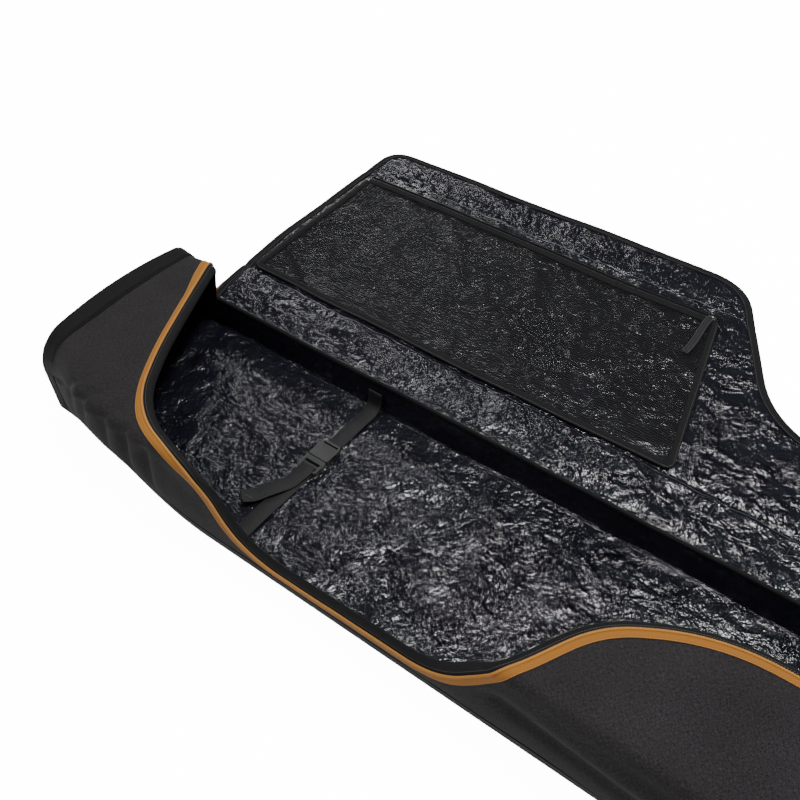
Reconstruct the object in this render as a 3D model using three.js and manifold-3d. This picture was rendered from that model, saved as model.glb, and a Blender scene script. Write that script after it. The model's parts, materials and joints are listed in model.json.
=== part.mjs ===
// Snowboard bag, lying on its base with the lid folded open.
//
// Frame: millimetres, +Z up, +X from the nose end towards the tail end, +Y towards the lid's hinge.
// The origin is the middle of the base, on the ground.
// The lid is three stiffened panels in a row: spine, top and front. Laid out flat, a point on the lid
// has a place x along the bag and a distance u from the hinge, and the lining side faces up.

import * as THREE from 'three';
import { mergeVertices } from 'three/addons/utils/BufferGeometryUtils.js';
import Module from 'manifold-3d';

const wasm = await Module();
wasm.setup();

// ---- Driving dimensions -------------------------------------------------------------------------

const BAG_LENGTH = 1750;
const BAG_WIDTH = 331;
const BAG_HEIGHT = 134;
const END_HEIGHT = 130;
const HINGE_HEIGHT = 55;
const LID_WIDTH = 340;
const SPINE_DEPTH = 90;
const FRONT_DEPTH = 90;
const RISE = THREE.MathUtils.degToRad(1);
const FABRIC = 2;
const GAP = 0.3;
const FOLD_GAP = 4;
const WEBBING_WIDTH = 25;
const WEBBING = 1.6;

// Places that follow from them.
const END_X = BAG_LENGTH / 2;
const HALF_WIDTH = BAG_WIDTH / 2;
const HINGE_Y = LID_WIDTH / 2;
const LID_DEPTH = SPINE_DEPTH + LID_WIDTH + FRONT_DEPTH;
const MOUTH_NOSE = -END_X + 60;
const MOUTH_TAIL = END_X - 90;
const WIDE_START = MOUTH_NOSE - 28;
const WIDE_END = MOUTH_NOSE + 690;
const NARROW_START = WIDE_END + 155;
const NARROW_DEPTH = 240;
const LINING_OUT = FABRIC + GAP;
const LINING_IN = LINING_OUT + FABRIC;
const FOAM_TOP = 9.6;
const FLOOR_TOP = FOAM_TOP + GAP + 1.4;

// ---- Materials ----------------------------------------------------------------------------------

function finish(color, roughness, metalness = 0) {
  return new THREE.MeshStandardMaterial({ color, roughness, metalness });
}

const shellFabric = finish(0x2a2728, 0.85);
const tarpaulin = finish(0x161617, 0.55);
const liningFilm = finish(0x2b2b34, 0.3);
const bindingTape = finish(0x0c0c0d, 0.8);
const paddingFoam = finish(0x8b8d90, 0.95);
const mustardTape = finish(0xb07a35, 0.7);
const meshCloth = finish(0x101012, 0.9);
const webbingCloth = finish(0x131314, 0.75);
const buckleNylon = finish(0x0b0b0c, 0.4);
const darkMetal = finish(0x3a3835, 0.35, 0.9);

// ---- Helpers ------------------------------------------------------------------------------------

const model = new THREE.Group();

function place(name, geometry, material, parent = model) {
  const mesh = new THREE.Mesh(geometry, material);
  mesh.name = name;
  parent.add(mesh);
  return mesh;
}

function solidFrom(geometry) {
  const bare = geometry.clone();
  bare.deleteAttribute('normal');
  bare.deleteAttribute('uv');
  const merged = mergeVertices(bare, 1e-3);
  return new wasm.Manifold(new wasm.Mesh({
    numProp: 3,
    vertProperties: merged.attributes.position.array,
    triVerts: new Uint32Array(merged.index.array),
  }));
}

function geometryFrom(solid) {
  const mesh = solid.getMesh();
  const geometry = new THREE.BufferGeometry();
  geometry.setAttribute('position', new THREE.BufferAttribute(mesh.vertProperties, 3));
  geometry.setIndex(new THREE.BufferAttribute(mesh.triVerts, 1));
  return geometry;
}

function box(low, high) {
  const geometry = new THREE.BoxGeometry(high[0] - low[0], high[1] - low[1], high[2] - low[2]);
  geometry.translate((low[0] + high[0]) / 2, (low[1] + high[1]) / 2, (low[2] + high[2]) / 2);
  return geometry;
}

// A closed outline from [x, y, radius] corners, each rounded over its radius.
function roundedOutline(corners, steps = 6) {
  const points = [];
  const count = corners.length;
  for (let i = 0; i < count; i += 1) {
    const [x, y, radius = 0] = corners[i];
    const corner = new THREE.Vector2(x, y);
    if (radius === 0) {
      points.push(corner);
      continue;
    }
    const before = corners[(i + count - 1) % count];
    const after = corners[(i + 1) % count];
    const start = new THREE.Vector2(before[0], before[1]).sub(corner).setLength(radius).add(corner);
    const end = new THREE.Vector2(after[0], after[1]).sub(corner).setLength(radius).add(corner);
    points.push(...new THREE.QuadraticBezierCurve(start, corner, end).getPoints(steps));
  }
  return points;
}

// The same outline moved outwards by distance. The points run anticlockwise.
function grown(points, distance) {
  const count = points.length;
  return points.map((point, i) => {
    const before = points[(i + count - 1) % count];
    const after = points[(i + 1) % count];
    const into = point.clone().sub(before).normalize();
    const away = after.clone().sub(point).normalize();
    const normal = new THREE.Vector2(into.y + away.y, -into.x - away.x).normalize();
    const stretch = 1 / Math.max(0.5, normal.x * into.y - normal.y * into.x);
    return point.clone().addScaledVector(normal, distance * stretch);
  });
}

function slab(points, low, high) {
  const geometry = new THREE.ExtrudeGeometry(new THREE.Shape(points), {
    depth: high - low,
    bevelEnabled: false,
    steps: 1,
  });
  return geometry.translate(0, 0, low);
}

// A slab whose outline is given in x and z, standing between two places along y.
function uprightSlab(points, low, high) {
  const geometry = slab(points, 0, high - low);
  return geometry.rotateX(Math.PI / 2).translate(0, high, 0);
}

// ---- The bag's body -----------------------------------------------------------------------------

const TOP_RADIUS = 16;
const BASE_RADIUS = 8;
const STATIONS = [0, 15, 30, 45, 60, 115, 175, 260, 360];

function easeBetween(end, middle, distance, length) {
  return THREE.MathUtils.lerp(end, middle, THREE.MathUtils.smoothstep(distance, 0, length));
}

// Half-widths and height of the bag at x. Both ends are lower and narrower than the middle, and the
// side away from the hinge tapers over a longer stretch, where the soft wall leans in and its upper
// edge grows rounder.
function sizesAt(x) {
  const fromEnd = END_X - Math.abs(x);
  return {
    farTop: easeBetween(160, HALF_WIDTH, fromEnd, 58),
    farBase: easeBetween(150, HALF_WIDTH - 1, fromEnd, 58),
    nearTop: easeBetween(128, HALF_WIDTH, fromEnd, 175),
    nearBase: easeBetween(116, HALF_WIDTH - 3, fromEnd, 360),
    height: easeBetween(END_HEIGHT, BAG_HEIGHT, fromEnd, 60),
    nearRadius: easeBetween(44, TOP_RADIUS, fromEnd, 130),
  };
}

function bagSection(x, inset) {
  const size = sizesAt(x);
  const top = size.height - inset;
  const topRadius = TOP_RADIUS - inset;
  const baseRadius = Math.max(2, BASE_RADIUS - inset);
  return roundedOutline([
    [-size.nearBase + inset, inset, baseRadius],
    [size.farBase - inset, inset, baseRadius],
    [size.farTop - inset, top, topRadius],
    [-size.nearTop + inset, top, size.nearRadius - inset],
  ], 4);
}

function loft(xs, sectionAt) {
  const rings = xs.map(sectionAt);
  const size = rings[0].length;
  const positions = [];
  const faces = [];
  rings.forEach((ring, i) => ring.forEach((point) => positions.push(xs[i], point.x, point.y)));
  for (let i = 0; i + 1 < xs.length; i += 1) {
    for (let j = 0; j < size; j += 1) {
      const a = i * size + j;
      const b = i * size + ((j + 1) % size);
      faces.push(a, b, b + size, a, b + size, a + size);
    }
  }
  const last = (xs.length - 1) * size;
  for (let j = 1; j + 1 < size; j += 1) {
    faces.push(0, j + 1, j);
    faces.push(last, last + j, last + j + 1);
  }
  const geometry = new THREE.BufferGeometry();
  geometry.setAttribute('position', new THREE.Float32BufferAttribute(positions, 3));
  geometry.setIndex(faces);
  return solidFrom(geometry);
}

// The whole bag as one closed form, shrunk on every side by inset.
function bagForm(inset) {
  const half = STATIONS.map((fromEnd) => END_X - fromEnd);
  const xs = [...half.map((x) => -x), ...[...half].reverse()];
  xs[0] += inset;
  xs[xs.length - 1] -= inset;
  return loft(xs, (x) => bagSection(x, inset));
}

// The mouth, as a tool that cuts through the top, the upper far wall and the upper near wall.
// grow widens the hole on every side.
const MOUTH_LOW = 47;
const MOUTH_CORNER = MOUTH_NOSE + 242;
const MOUTH_RISE = MOUTH_NOSE + 755;
const MOUTH_CREST = BAG_HEIGHT - TOP_RADIUS;

function mouthTool(grow) {
  const high = BAG_HEIGHT + 40;
  const outside = BAG_WIDTH;
  const topOutline = grown(roundedOutline([
    [MOUTH_NOSE, outside],
    [MOUTH_NOSE, HALF_WIDTH - 20, 20],
    [MOUTH_NOSE + 118, -88, 60],
    [MOUTH_CORNER, -HALF_WIDTH + 32, 30],
    [MOUTH_CORNER, -outside],
    [MOUTH_RISE, -outside],
    [MOUTH_RISE, -HALF_WIDTH + 24, 20],
    [NARROW_START - 4, HINGE_Y - NARROW_DEPTH + SPINE_DEPTH + 6, 100],
    [MOUTH_TAIL, HINGE_Y - NARROW_DEPTH + SPINE_DEPTH + 6, 40],
    [MOUTH_TAIL, outside],
  ]), grow);
  const nearOutline = grown(roundedOutline([
    [MOUTH_CORNER, high],
    [MOUTH_CORNER, MOUTH_CREST - 4, 9],
    [MOUTH_CORNER + 90, MOUTH_CREST - 12, 50],
    [MOUTH_CORNER + 195, MOUTH_LOW, 65],
    [MOUTH_RISE - 85, MOUTH_LOW, 55],
    [MOUTH_RISE, MOUTH_CREST - 14, 18],
    [MOUTH_RISE, high],
  ]), grow);
  const overTop = solidFrom(slab(topOutline, MOUTH_CREST + 5, high));
  const overNear = solidFrom(uprightSlab(nearOutline, -outside, -HALF_WIDTH + 40));
  const overFar = solidFrom(box(
    [MOUTH_NOSE - grow, HALF_WIDTH - TOP_RADIUS, HINGE_HEIGHT - 4 - grow],
    [MOUTH_TAIL + grow, outside, high],
  ));
  return overTop.add(overNear).add(overFar);
}

const outerSkin = bagForm(0).subtract(bagForm(FABRIC));
const innerForm = bagForm(LINING_IN);
const innerSkin = bagForm(LINING_OUT).subtract(innerForm).subtract(innerForm.translate([0, 0, -10]));

// The whole space between two values along one axis. A null leaves that side open.
const far = 2 * END_X;
function between(axis, low, high) {
  const lows = [-far, -far, -far];
  const highs = [far, far, far];
  const index = 'xyz'.indexOf(axis);
  lows[index] = low ?? -far;
  highs[index] = high ?? far;
  return solidFrom(box(lows, highs));
}

// Everything above the bag's top edges, which splits the top panels from the side walls.
const RIDGE_DROP = 18;
const aboveRidge = loft([-far, -END_X, -END_X + 15, -END_X + 30, -END_X + 45, -END_X + 60,
  END_X - 60, END_X - 45, END_X - 30, END_X - 15, END_X, far], (x) => {
  const low = sizesAt(THREE.MathUtils.clamp(x, -END_X, END_X)).height - RIDGE_DROP;
  return [[-far, low], [far, low], [far, far], [-far, far]].map(([y, z]) => new THREE.Vector2(y, z));
});
const belowRidge = aboveRidge.translate([0, 0, -GAP]);

const BASE_TURN_UP = 9;
const END_WALL = FABRIC + 0.1;
const WALL_END = END_X - END_WALL - GAP;
const TAPE_WIDTH = 11;
const COIL_WIDTH = 2.5;

// How far along the mouth each hood's top panel reaches.
const NOSE_HOOD_REACH = 300;
const TAIL_HOOD_START = 500;

function buildOuterPanels() {
  const cloth = outerSkin.subtract(mouthTool(TAPE_WIDTH + GAP));
  const base = cloth.intersect(between('z', null, BASE_TURN_UP));
  const ends = cloth.intersect(between('z', BASE_TURN_UP + GAP, null));
  const aboveBase = ends.intersect(between('x', -WALL_END, WALL_END));
  const sides = aboveBase.subtract(belowRidge);
  const tops = aboveBase.intersect(aboveRidge);
  const noseTop = tops.intersect(between('x', null, MOUTH_NOSE + NOSE_HOOD_REACH));
  const tailTop = tops.intersect(between('x', MOUTH_NOSE + TAIL_HOOD_START, null));
  const noseEnd = ends.intersect(between('x', null, -END_X + END_WALL));
  const tailEnd = ends.intersect(between('x', END_X - END_WALL, null));
  place('base_panel', geometryFrom(base), tarpaulin);
  place('near_wall', geometryFrom(sides.intersect(between('y', null, 0))), shellFabric);
  place('far_wall', geometryFrom(sides.intersect(between('y', 0, null))), shellFabric);
  place('nose_hood', geometryFrom(noseTop), shellFabric);
  place('tail_hood', geometryFrom(tailTop), shellFabric);
  place('nose_end_wall', geometryFrom(noseEnd), shellFabric);
  place('tail_end_wall', geometryFrom(tailEnd), shellFabric);
}

// The lining is one sewn sleeve that covers the walls, the ends and the undersides of the hoods.
function buildLining() {
  place('body_lining', geometryFrom(innerSkin.subtract(mouthTool(TAPE_WIDTH + GAP))), liningFilm);
}

function buildBasePadding() {
  const inside = bagForm(LINING_IN + GAP);
  const foam = inside.intersect(between('z', null, FOAM_TOP));
  const film = inside.intersect(between('z', FOAM_TOP + GAP, FLOOR_TOP));
  place('base_foam', geometryFrom(foam), paddingFoam);
  place('floor_lining', geometryFrom(film), liningFilm);
}

// The mouth's zip: teeth along the edge, the tape behind them, and a welt of lining fabric inside.
function buildMouthZip() {
  const clear = between('z', null, HINGE_HEIGHT - 4).intersect(between('y', 0, null));
  const beyondCoil = mouthTool(TAPE_WIDTH).subtract(mouthTool(COIL_WIDTH + GAP));
  const tape = outerSkin.intersect(beyondCoil).subtract(clear);
  const raised = bagForm(-1).subtract(bagForm(1.4));
  const coil = raised.intersect(mouthTool(COIL_WIDTH)).subtract(mouthTool(0)).subtract(clear);
  const welt = innerSkin.intersect(mouthTool(TAPE_WIDTH)).subtract(mouthTool(-3)).subtract(clear);
  place('mouth_zip_tape', geometryFrom(tape), mustardTape);
  place('mouth_zip_teeth', geometryFrom(coil), mustardTape);
  place('mouth_welt', geometryFrom(welt), bindingTape);
}

function buildEndBands() {
  const ring = bagForm(-1.8).subtract(bagForm(-GAP));
  const width = 28;
  const noseBand = ring.intersect(between('x', -END_X, -END_X + width));
  const tailBand = ring.intersect(between('x', END_X - width, END_X));
  place('nose_end_band', geometryFrom(noseBand), bindingTape);
  place('tail_end_band', geometryFrom(tailBand), bindingTape);
}

// A bound seam along the hinge line, between the far wall and the lid's spine.
function buildHingePiping() {
  const radius = 3.4;
  const length = MOUTH_TAIL - MOUTH_NOSE - 8;
  const piping = new THREE.CylinderGeometry(radius, radius, length, 12);
  piping.rotateZ(Math.PI / 2);
  const mesh = place('hinge_piping', piping, bindingTape);
  mesh.position.set((MOUTH_NOSE + MOUTH_TAIL) / 2, HINGE_Y, HINGE_HEIGHT);
}

buildOuterPanels();
buildLining();
buildBasePadding();
buildMouthZip();
buildEndBands();
buildHingePiping();

// ---- The lid ------------------------------------------------------------------------------------

const LID_EDGE = 2;
const lidOutline = roundedOutline([
  [MOUTH_NOSE + LID_EDGE, 0],
  [MOUTH_TAIL - LID_EDGE, 0],
  [MOUTH_TAIL - LID_EDGE, NARROW_DEPTH, 50],
  [NARROW_START, NARROW_DEPTH, 110],
  [WIDE_END, LID_DEPTH, 60],
  [WIDE_START, LID_DEPTH, 45],
  [WIDE_START, SPINE_DEPTH + 60, 50],
  [MOUTH_NOSE + LID_EDGE, SPINE_DEPTH - 20, 20],
]);

const BINDING_WIDTH = 13;
const COVER = { low: -3, high: -1.6 };
const FILM = { low: 1.1, high: 2.5 };
const PADDING = { low: COVER.high + GAP, high: FILM.low - GAP };
const BINDING = { low: -3.8, high: 3.3 };
const LID_TAPE = { low: -5.4, high: BINDING.low - GAP };

// A layer of the lid between two distances from the hinge, measured from the panel's own fold.
function lidLayer(inset, layer, from, to) {
  const whole = solidFrom(slab(grown(lidOutline, -inset), layer.low, layer.high));
  const strip = between('y', from, to);
  return whole.intersect(strip).translate([0, -panelStart(from), 0]);
}

function panelStart(from) {
  if (from < SPINE_DEPTH) return 0;
  return from < SPINE_DEPTH + LID_WIDTH ? SPINE_DEPTH : SPINE_DEPTH + LID_WIDTH;
}

const spine = new THREE.Group();
spine.position.set(0, HINGE_Y, HINGE_HEIGHT);
spine.rotation.x = RISE;
model.add(spine);
const top = new THREE.Group();
top.position.y = SPINE_DEPTH;
top.rotation.x = RISE;
spine.add(top);
const front = new THREE.Group();
front.position.y = LID_WIDTH;
front.rotation.x = RISE;
top.add(front);

const panels = [
  { name: 'spine', group: spine, from: FOLD_GAP, to: SPINE_DEPTH - FOLD_GAP },
  { name: 'top', group: top, from: SPINE_DEPTH + FOLD_GAP, to: SPINE_DEPTH + LID_WIDTH - FOLD_GAP },
  { name: 'front', group: front, from: SPINE_DEPTH + LID_WIDTH + FOLD_GAP, to: far },
];

function buildLidPanel({ name, group, from, to }) {
  const inside = BINDING_WIDTH + GAP;
  place(`lid_${name}_cover`, geometryFrom(lidLayer(inside, COVER, from, to)), shellFabric, group);
  if (name === 'top') {
    place('lid_top_padding', geometryFrom(lidLayer(inside, PADDING, from, to)), paddingFoam, group);
  }
  place(`lid_${name}_lining`, geometryFrom(lidLayer(inside, FILM, from, to)), liningFilm, group);
}

// A strip that follows the lid's edge. The front panel has one; the others have one at each end.
function edgeStrip(from, to, layer, outer, inner) {
  return lidLayer(outer, layer, from, to).subtract(lidLayer(inner, { low: -20, high: 20 }, from, to));
}

function buildLidEdges() {
  const split = (MOUTH_NOSE + WIDE_END) / 2;
  const noseSide = between('x', null, split);
  const tailSide = between('x', split, null);
  for (const { name, group, from, to } of panels) {
    const binding = edgeStrip(from, to, BINDING, 0, BINDING_WIDTH);
    if (name === 'front') {
      const tape = edgeStrip(from, to, LID_TAPE, -1.5, BINDING_WIDTH - 3);
      place('lid_front_binding', geometryFrom(binding), bindingTape, group);
      place('lid_front_zip_tape', geometryFrom(tape), mustardTape, group);
      continue;
    }
    place(`lid_${name}_binding_nose`, geometryFrom(binding.intersect(noseSide)), bindingTape, group);
    place(`lid_${name}_binding_tail`, geometryFrom(binding.intersect(tailSide)), bindingTape, group);
    if (name === 'top') {
      const tape = edgeStrip(from, to, LID_TAPE, -1.5, BINDING_WIDTH - 3);
      place('lid_top_zip_tape_nose', geometryFrom(tape.intersect(noseSide)), mustardTape, group);
      place('lid_top_zip_tape_tail', geometryFrom(tape.intersect(tailSide)), mustardTape, group);
    }
  }
}

panels.forEach(buildLidPanel);
buildLidEdges();

// ---- Mesh pocket on the lid's top panel ---------------------------------------------------------

// Distances along the panel are measured from its fold with the spine.
const POCKET_LOW = 8;
const POCKET_HIGH = 314;
const ZIP_HIGH = POCKET_HIGH + 16;
const MESH = { low: 4.6, high: 5.6 };

const pocketOutline = [
  [MOUTH_NOSE + 45, POCKET_LOW],
  [MOUTH_NOSE + 755, POCKET_LOW],
  [MOUTH_NOSE + 685, POCKET_HIGH],
  [MOUTH_NOSE, POCKET_HIGH],
].map(([x, y]) => new THREE.Vector2(x, y));

function buildPocket() {
  const tapeWidth = 10;
  const left = MOUTH_NOSE;
  const right = MOUTH_NOSE + 685;
  const middle = (POCKET_HIGH + ZIP_HIGH) / 2;
  place('mesh_pocket', slab(pocketOutline, MESH.low, MESH.high), meshCloth, top);
  const rim = solidFrom(slab(grown(pocketOutline, tapeWidth), FILM.high + GAP, MESH.high))
    .subtract(solidFrom(slab(grown(pocketOutline, GAP), 0, far)))
    .intersect(between('y', POCKET_LOW - 3, POCKET_HIGH));
  place('pocket_rim_tape', geometryFrom(rim), bindingTape, top);
  const tape = solidFrom(box([left, POCKET_HIGH + GAP, FILM.high + GAP], [right, ZIP_HIGH, 4]));
  const teeth = solidFrom(box([left, middle - 2, 3.5], [right, middle + 2, 5.6]));
  place('pocket_zip', geometryFrom(tape.add(teeth)), bindingTape, top);

  const sliderX = right - 22;
  const slider = new THREE.Shape(roundedOutline([
    [-7, -4.5, 2], [7, -3, 2], [7, 3, 2], [-7, 4.5, 2],
  ], 3));
  const body = new THREE.ExtrudeGeometry(slider, { depth: 2.6, bevelEnabled: false });
  body.translate(sliderX, middle, 5.6 + GAP);
  place('pocket_slider', body, darkMetal, top);

  const tabHalf = 7;
  const tabEnd = middle - 6.5;
  const tab = slab(roundedOutline([
    [sliderX - tabHalf, tabEnd - 62, 3],
    [sliderX + tabHalf, tabEnd - 62, 3],
    [sliderX + tabHalf, tabEnd, 2],
    [sliderX - tabHalf, tabEnd, 2],
  ], 3), 6.4, 8);
  place('pocket_pull_tab', tab, webbingCloth, top);
}

buildPocket();

// ---- Sliders of the main zip --------------------------------------------------------------------

// Each slider rests at one end of the mouth, low on the far wall, just outside the hole.
function buildMainSlider(name, side) {
  const edge = side < 0 ? MOUTH_NOSE : MOUTH_TAIL;
  const middle = edge + side * 6;
  const low = 64;
  const high = 82;
  const face = HALF_WIDTH + 1 + GAP;
  const outline = roundedOutline([
    [middle - 4, low, 2], [middle + 4, low, 2], [middle + 5, high, 3], [middle - 5, high, 3],
  ], 3);
  place(`${name}_slider`, uprightSlab(outline, face, face + 3.6), darkMetal);
  const pullFace = face + 4.2;
  const pull = solidFrom(uprightSlab(roundedOutline([
    [middle - 3, high - 34, 2.5], [middle + 3, high - 34, 2.5], [middle + 2.2, high - 4, 1.5],
    [middle - 2.2, high - 4, 1.5],
  ], 3), pullFace, pullFace + 1.6));
  const eye = solidFrom(box([middle - 1.2, 0, high - 30], [middle + 1.2, far, high - 22]));
  place(`${name}_slider_pull`, geometryFrom(pull.subtract(eye)), darkMetal);
}

buildMainSlider('nose', -1);
buildMainSlider('tail', 1);

// ---- Inner compression straps with side-release buckles -----------------------------------------

// Inside a strap's group, +Y runs across the bag and the buckle's mating face is at y = 0.
const STRAP_LOW = FLOOR_TOP + GAP;
const STRAP_HIGH = STRAP_LOW + WEBBING;
const BUCKLE_LOW = STRAP_HIGH + GAP;
const BUCKLE_HALF = 17;
const BUCKLE_Y = 24;
const WALL_INSIDE = HALF_WIDTH - LINING_IN - 3.6;

function webbingStrip(points, width) {
  const profile = new THREE.Shape(points.map(([y, z]) => new THREE.Vector2(y, z)));
  const geometry = new THREE.ExtrudeGeometry(profile, { depth: width, bevelEnabled: false });
  geometry.translate(0, 0, -width / 2);
  return geometry.rotateY(Math.PI / 2).rotateX(Math.PI / 2);
}

// An anchored strip: flat on the floor, then up the wall, where it is sewn on. side is -1 or 1.
function anchoredStrip(side, endY) {
  const wall = side * WALL_INSIDE - BUCKLE_Y;
  const rise = 46;
  const points = [
    [endY, STRAP_LOW], [wall, STRAP_LOW], [wall, rise], [wall - side * WEBBING, rise],
    [wall - side * WEBBING, STRAP_HIGH], [endY, STRAP_HIGH],
  ];
  return webbingStrip(side > 0 ? points : points.reverse(), WEBBING_WIDTH);
}

function buildFemale(name, group) {
  const length = 34;
  const height = 8;
  const shell = solidFrom(slab(roundedOutline([
    [-BUCKLE_HALF, 0, 3], [BUCKLE_HALF, 0, 3], [BUCKLE_HALF, length - 8, 4],
    [BUCKLE_HALF - 2, length, 3], [-BUCKLE_HALF + 2, length, 3], [-BUCKLE_HALF, length - 8, 4],
  ], 3), BUCKLE_LOW, BUCKLE_LOW + height));
  const cavity = solidFrom(box([-13.2, -1, BUCKLE_LOW + 1.8], [13.2, 24.5, BUCKLE_LOW + height - 1.8]));
  const windows = solidFrom(box([-30, 8, BUCKLE_LOW + 1.8], [30, 19, BUCKLE_LOW + height - 1.8]));
  const slot = solidFrom(box([-12.8, 27.5, 0], [12.8, 30.5, 60]));
  place(`${name}_buckle_female`, geometryFrom(shell.subtract(cavity).subtract(windows).subtract(slot)),
    buckleNylon, group);
}

function buildMale(name, group) {
  const height = 7.4;
  const frame = solidFrom(slab(roundedOutline([
    [-BUCKLE_HALF, -27, 4], [BUCKLE_HALF, -27, 4], [BUCKLE_HALF, -1.2, 3], [-BUCKLE_HALF, -1.2, 3],
  ], 3), BUCKLE_LOW, BUCKLE_LOW + height));
  const backSlot = solidFrom(box([-12.8, -23, 0], [12.8, -18.5, 60]));
  const frontSlot = solidFrom(box([-12.8, -14, 0], [12.8, -9.5, 60]));
  const guide = solidFrom(box([-2.4, -2, BUCKLE_LOW + 2.2], [2.4, 21, BUCKLE_LOW + height - 2]));
  place(`${name}_buckle_male`, geometryFrom(frame.subtract(backSlot).subtract(frontSlot).add(guide)),
    buckleNylon, group);
  for (const [side, word] of [[-1, 'left'], [1, 'right']]) {
    const arm = roundedOutline([
      [side * 7.4, -0.6], [side * 11.4, -0.6], [side * 10.6, 8.5], [side * 12.8, 10, 1],
      [side * 12.4, 17, 1.5], [side * 9, 21.5, 1.5], [side * 7.6, 19, 1],
    ], 2);
    const points = side > 0 ? arm : arm.reverse();
    place(`${name}_buckle_latch_${word}`, slab(points, BUCKLE_LOW + 2.2, BUCKLE_LOW + height - 2),
      buckleNylon, group);
  }
}

// The loose end of the strap, which comes out on top of the buckle and lies back over the floor.
function buildLooseEnd(name, group) {
  const buckleTop = BUCKLE_LOW + 7.4 + GAP;
  const rest = BUCKLE_LOW + 0.6;
  const drop = new THREE.CubicBezierCurve(
    new THREE.Vector2(-12, buckleTop),
    new THREE.Vector2(-34, buckleTop + 5),
    new THREE.Vector2(-48, rest + 1),
    new THREE.Vector2(-70, rest),
  );
  const under = [...drop.getPoints(8), new THREE.Vector2(-138, rest)];
  const points = under.map((point) => [point.x, point.y]);
  const over = points.map(([y, z]) => [y, z + WEBBING]).reverse();
  place(`${name}_strap_loose_end`, webbingStrip([...points, ...over].reverse(), WEBBING_WIDTH - 1),
    webbingCloth, group);
}

function buildStrap(name, x) {
  const group = new THREE.Group();
  group.position.set(x, BUCKLE_Y, 0);
  model.add(group);
  place(`${name}_strap_near`, anchoredStrip(-1, -6), webbingCloth, group);
  place(`${name}_strap_far`, anchoredStrip(1, 22), webbingCloth, group);
  buildFemale(name, group);
  buildMale(name, group);
  buildLooseEnd(name, group);
}

const STRAP_FROM_MIDDLE = 480;
buildStrap('nose', -STRAP_FROM_MIDDLE);
buildStrap('tail', STRAP_FROM_MIDDLE);

// ---- Handles ------------------------------------------------------------------------------------

// The carry handle hangs on the outside of the spine, over the bag's balance point.
function buildCarryHandle() {
  const half = 145;
  const anchorHigh = 74;
  const grip = solidFrom(slab(roundedOutline([
    [-half, anchorHigh - 40, 14], [half, anchorHigh - 40, 14],
    [half, anchorHigh, 2], [-half, anchorHigh, 2],
  ], 4), -9.2, -6.4));
  const hand = solidFrom(slab(roundedOutline([
    [-half + 26, anchorHigh - 16, 6], [half - 26, anchorHigh - 16, 6],
    [half - 26, anchorHigh + 9], [-half + 26, anchorHigh + 9],
  ], 4), -20, 0));
  place('carry_handle', geometryFrom(grip.subtract(hand)), webbingCloth, spine);
  for (const [side, word] of [[-1, 'nose'], [1, 'tail']]) {
    const middle = side * (half - 13);
    const patch = box([middle - 17, anchorHigh - 44, -5.6], [middle + 17, anchorHigh + 8, -3.3]);
    place(`handle_patch_${word}`, patch, webbingCloth, spine);
  }
}

// A webbing grab loop on each end wall.
function buildGrabHandle(name, side) {
  const face = side * (END_X + 3);
  const low = 34;
  const high = 70;
  const outer = roundedOutline([
    [-70, low, 10], [70, low, 10], [70, high, 2], [-70, high, 2],
  ], 3);
  const hole = [[-46, low + 20], [46, low + 20], [46, high + 9], [-46, high + 9]].map(
    ([y, z]) => new THREE.Vector2(y, z),
  );
  const loop = solidFrom(slab(outer, 0, 2.6)).subtract(solidFrom(slab(hole, -5, 9)));
  const geometry = geometryFrom(loop);
  geometry.rotateX(Math.PI / 2).rotateZ(side * Math.PI / 2);
  geometry.translate(face, 0, 0);
  place(`${name}_grab_handle`, geometry, webbingCloth);
}

buildCarryHandle();
buildGrabHandle('nose', -1);
buildGrabHandle('tail', 1);

export default model;
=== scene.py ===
# The looks of the snowboard bag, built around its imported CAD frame. Metres, +Z up.
#
# Cloth is made from sheets: a grid in two flat coordinates, clipped to an outline and put in space by
# a function. On the bag's body the flat coordinates are x and w, the way round the section from the
# ground below the far wall. On the lid they are x and u, the distance from the hinge.

import json
import math

import bmesh
import bpy
import numpy as np
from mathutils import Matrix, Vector


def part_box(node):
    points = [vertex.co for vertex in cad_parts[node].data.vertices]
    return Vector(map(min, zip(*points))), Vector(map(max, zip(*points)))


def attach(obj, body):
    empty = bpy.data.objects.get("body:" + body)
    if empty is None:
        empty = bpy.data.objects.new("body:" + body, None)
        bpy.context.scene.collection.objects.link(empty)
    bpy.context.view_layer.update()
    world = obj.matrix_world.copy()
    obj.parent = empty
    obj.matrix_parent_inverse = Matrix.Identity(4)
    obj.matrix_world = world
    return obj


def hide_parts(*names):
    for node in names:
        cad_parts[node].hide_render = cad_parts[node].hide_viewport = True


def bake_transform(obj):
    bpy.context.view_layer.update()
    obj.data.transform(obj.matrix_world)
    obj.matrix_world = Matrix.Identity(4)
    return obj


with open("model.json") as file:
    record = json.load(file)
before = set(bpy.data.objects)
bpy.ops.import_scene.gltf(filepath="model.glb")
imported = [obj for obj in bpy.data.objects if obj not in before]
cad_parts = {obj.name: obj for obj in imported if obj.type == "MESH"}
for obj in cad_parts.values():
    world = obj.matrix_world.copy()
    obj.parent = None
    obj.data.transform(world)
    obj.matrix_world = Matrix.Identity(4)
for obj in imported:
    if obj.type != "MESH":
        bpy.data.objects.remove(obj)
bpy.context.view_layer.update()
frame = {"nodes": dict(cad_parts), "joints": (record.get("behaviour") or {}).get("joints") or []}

MM = 0.001
JOINTS = {joint["name"]: joint for joint in frame["joints"]}
HINGE = np.array(JOINTS["lid_hinge"]["pos_m"])
TOP_FOLD = np.array(JOINTS["lid_top_fold"]["pos_m"])
FRONT_FOLD = np.array(JOINTS["lid_front_fold"]["pos_m"])
GRID = 5 * MM
UP = np.array([0, 0, 1.0])
ALONG_X = np.array([1.0, 0, 0])
ALONG_Y = np.array([0, 1.0, 0])


# ---- Flat outlines ----------------------------------------------------------------------------------

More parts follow.
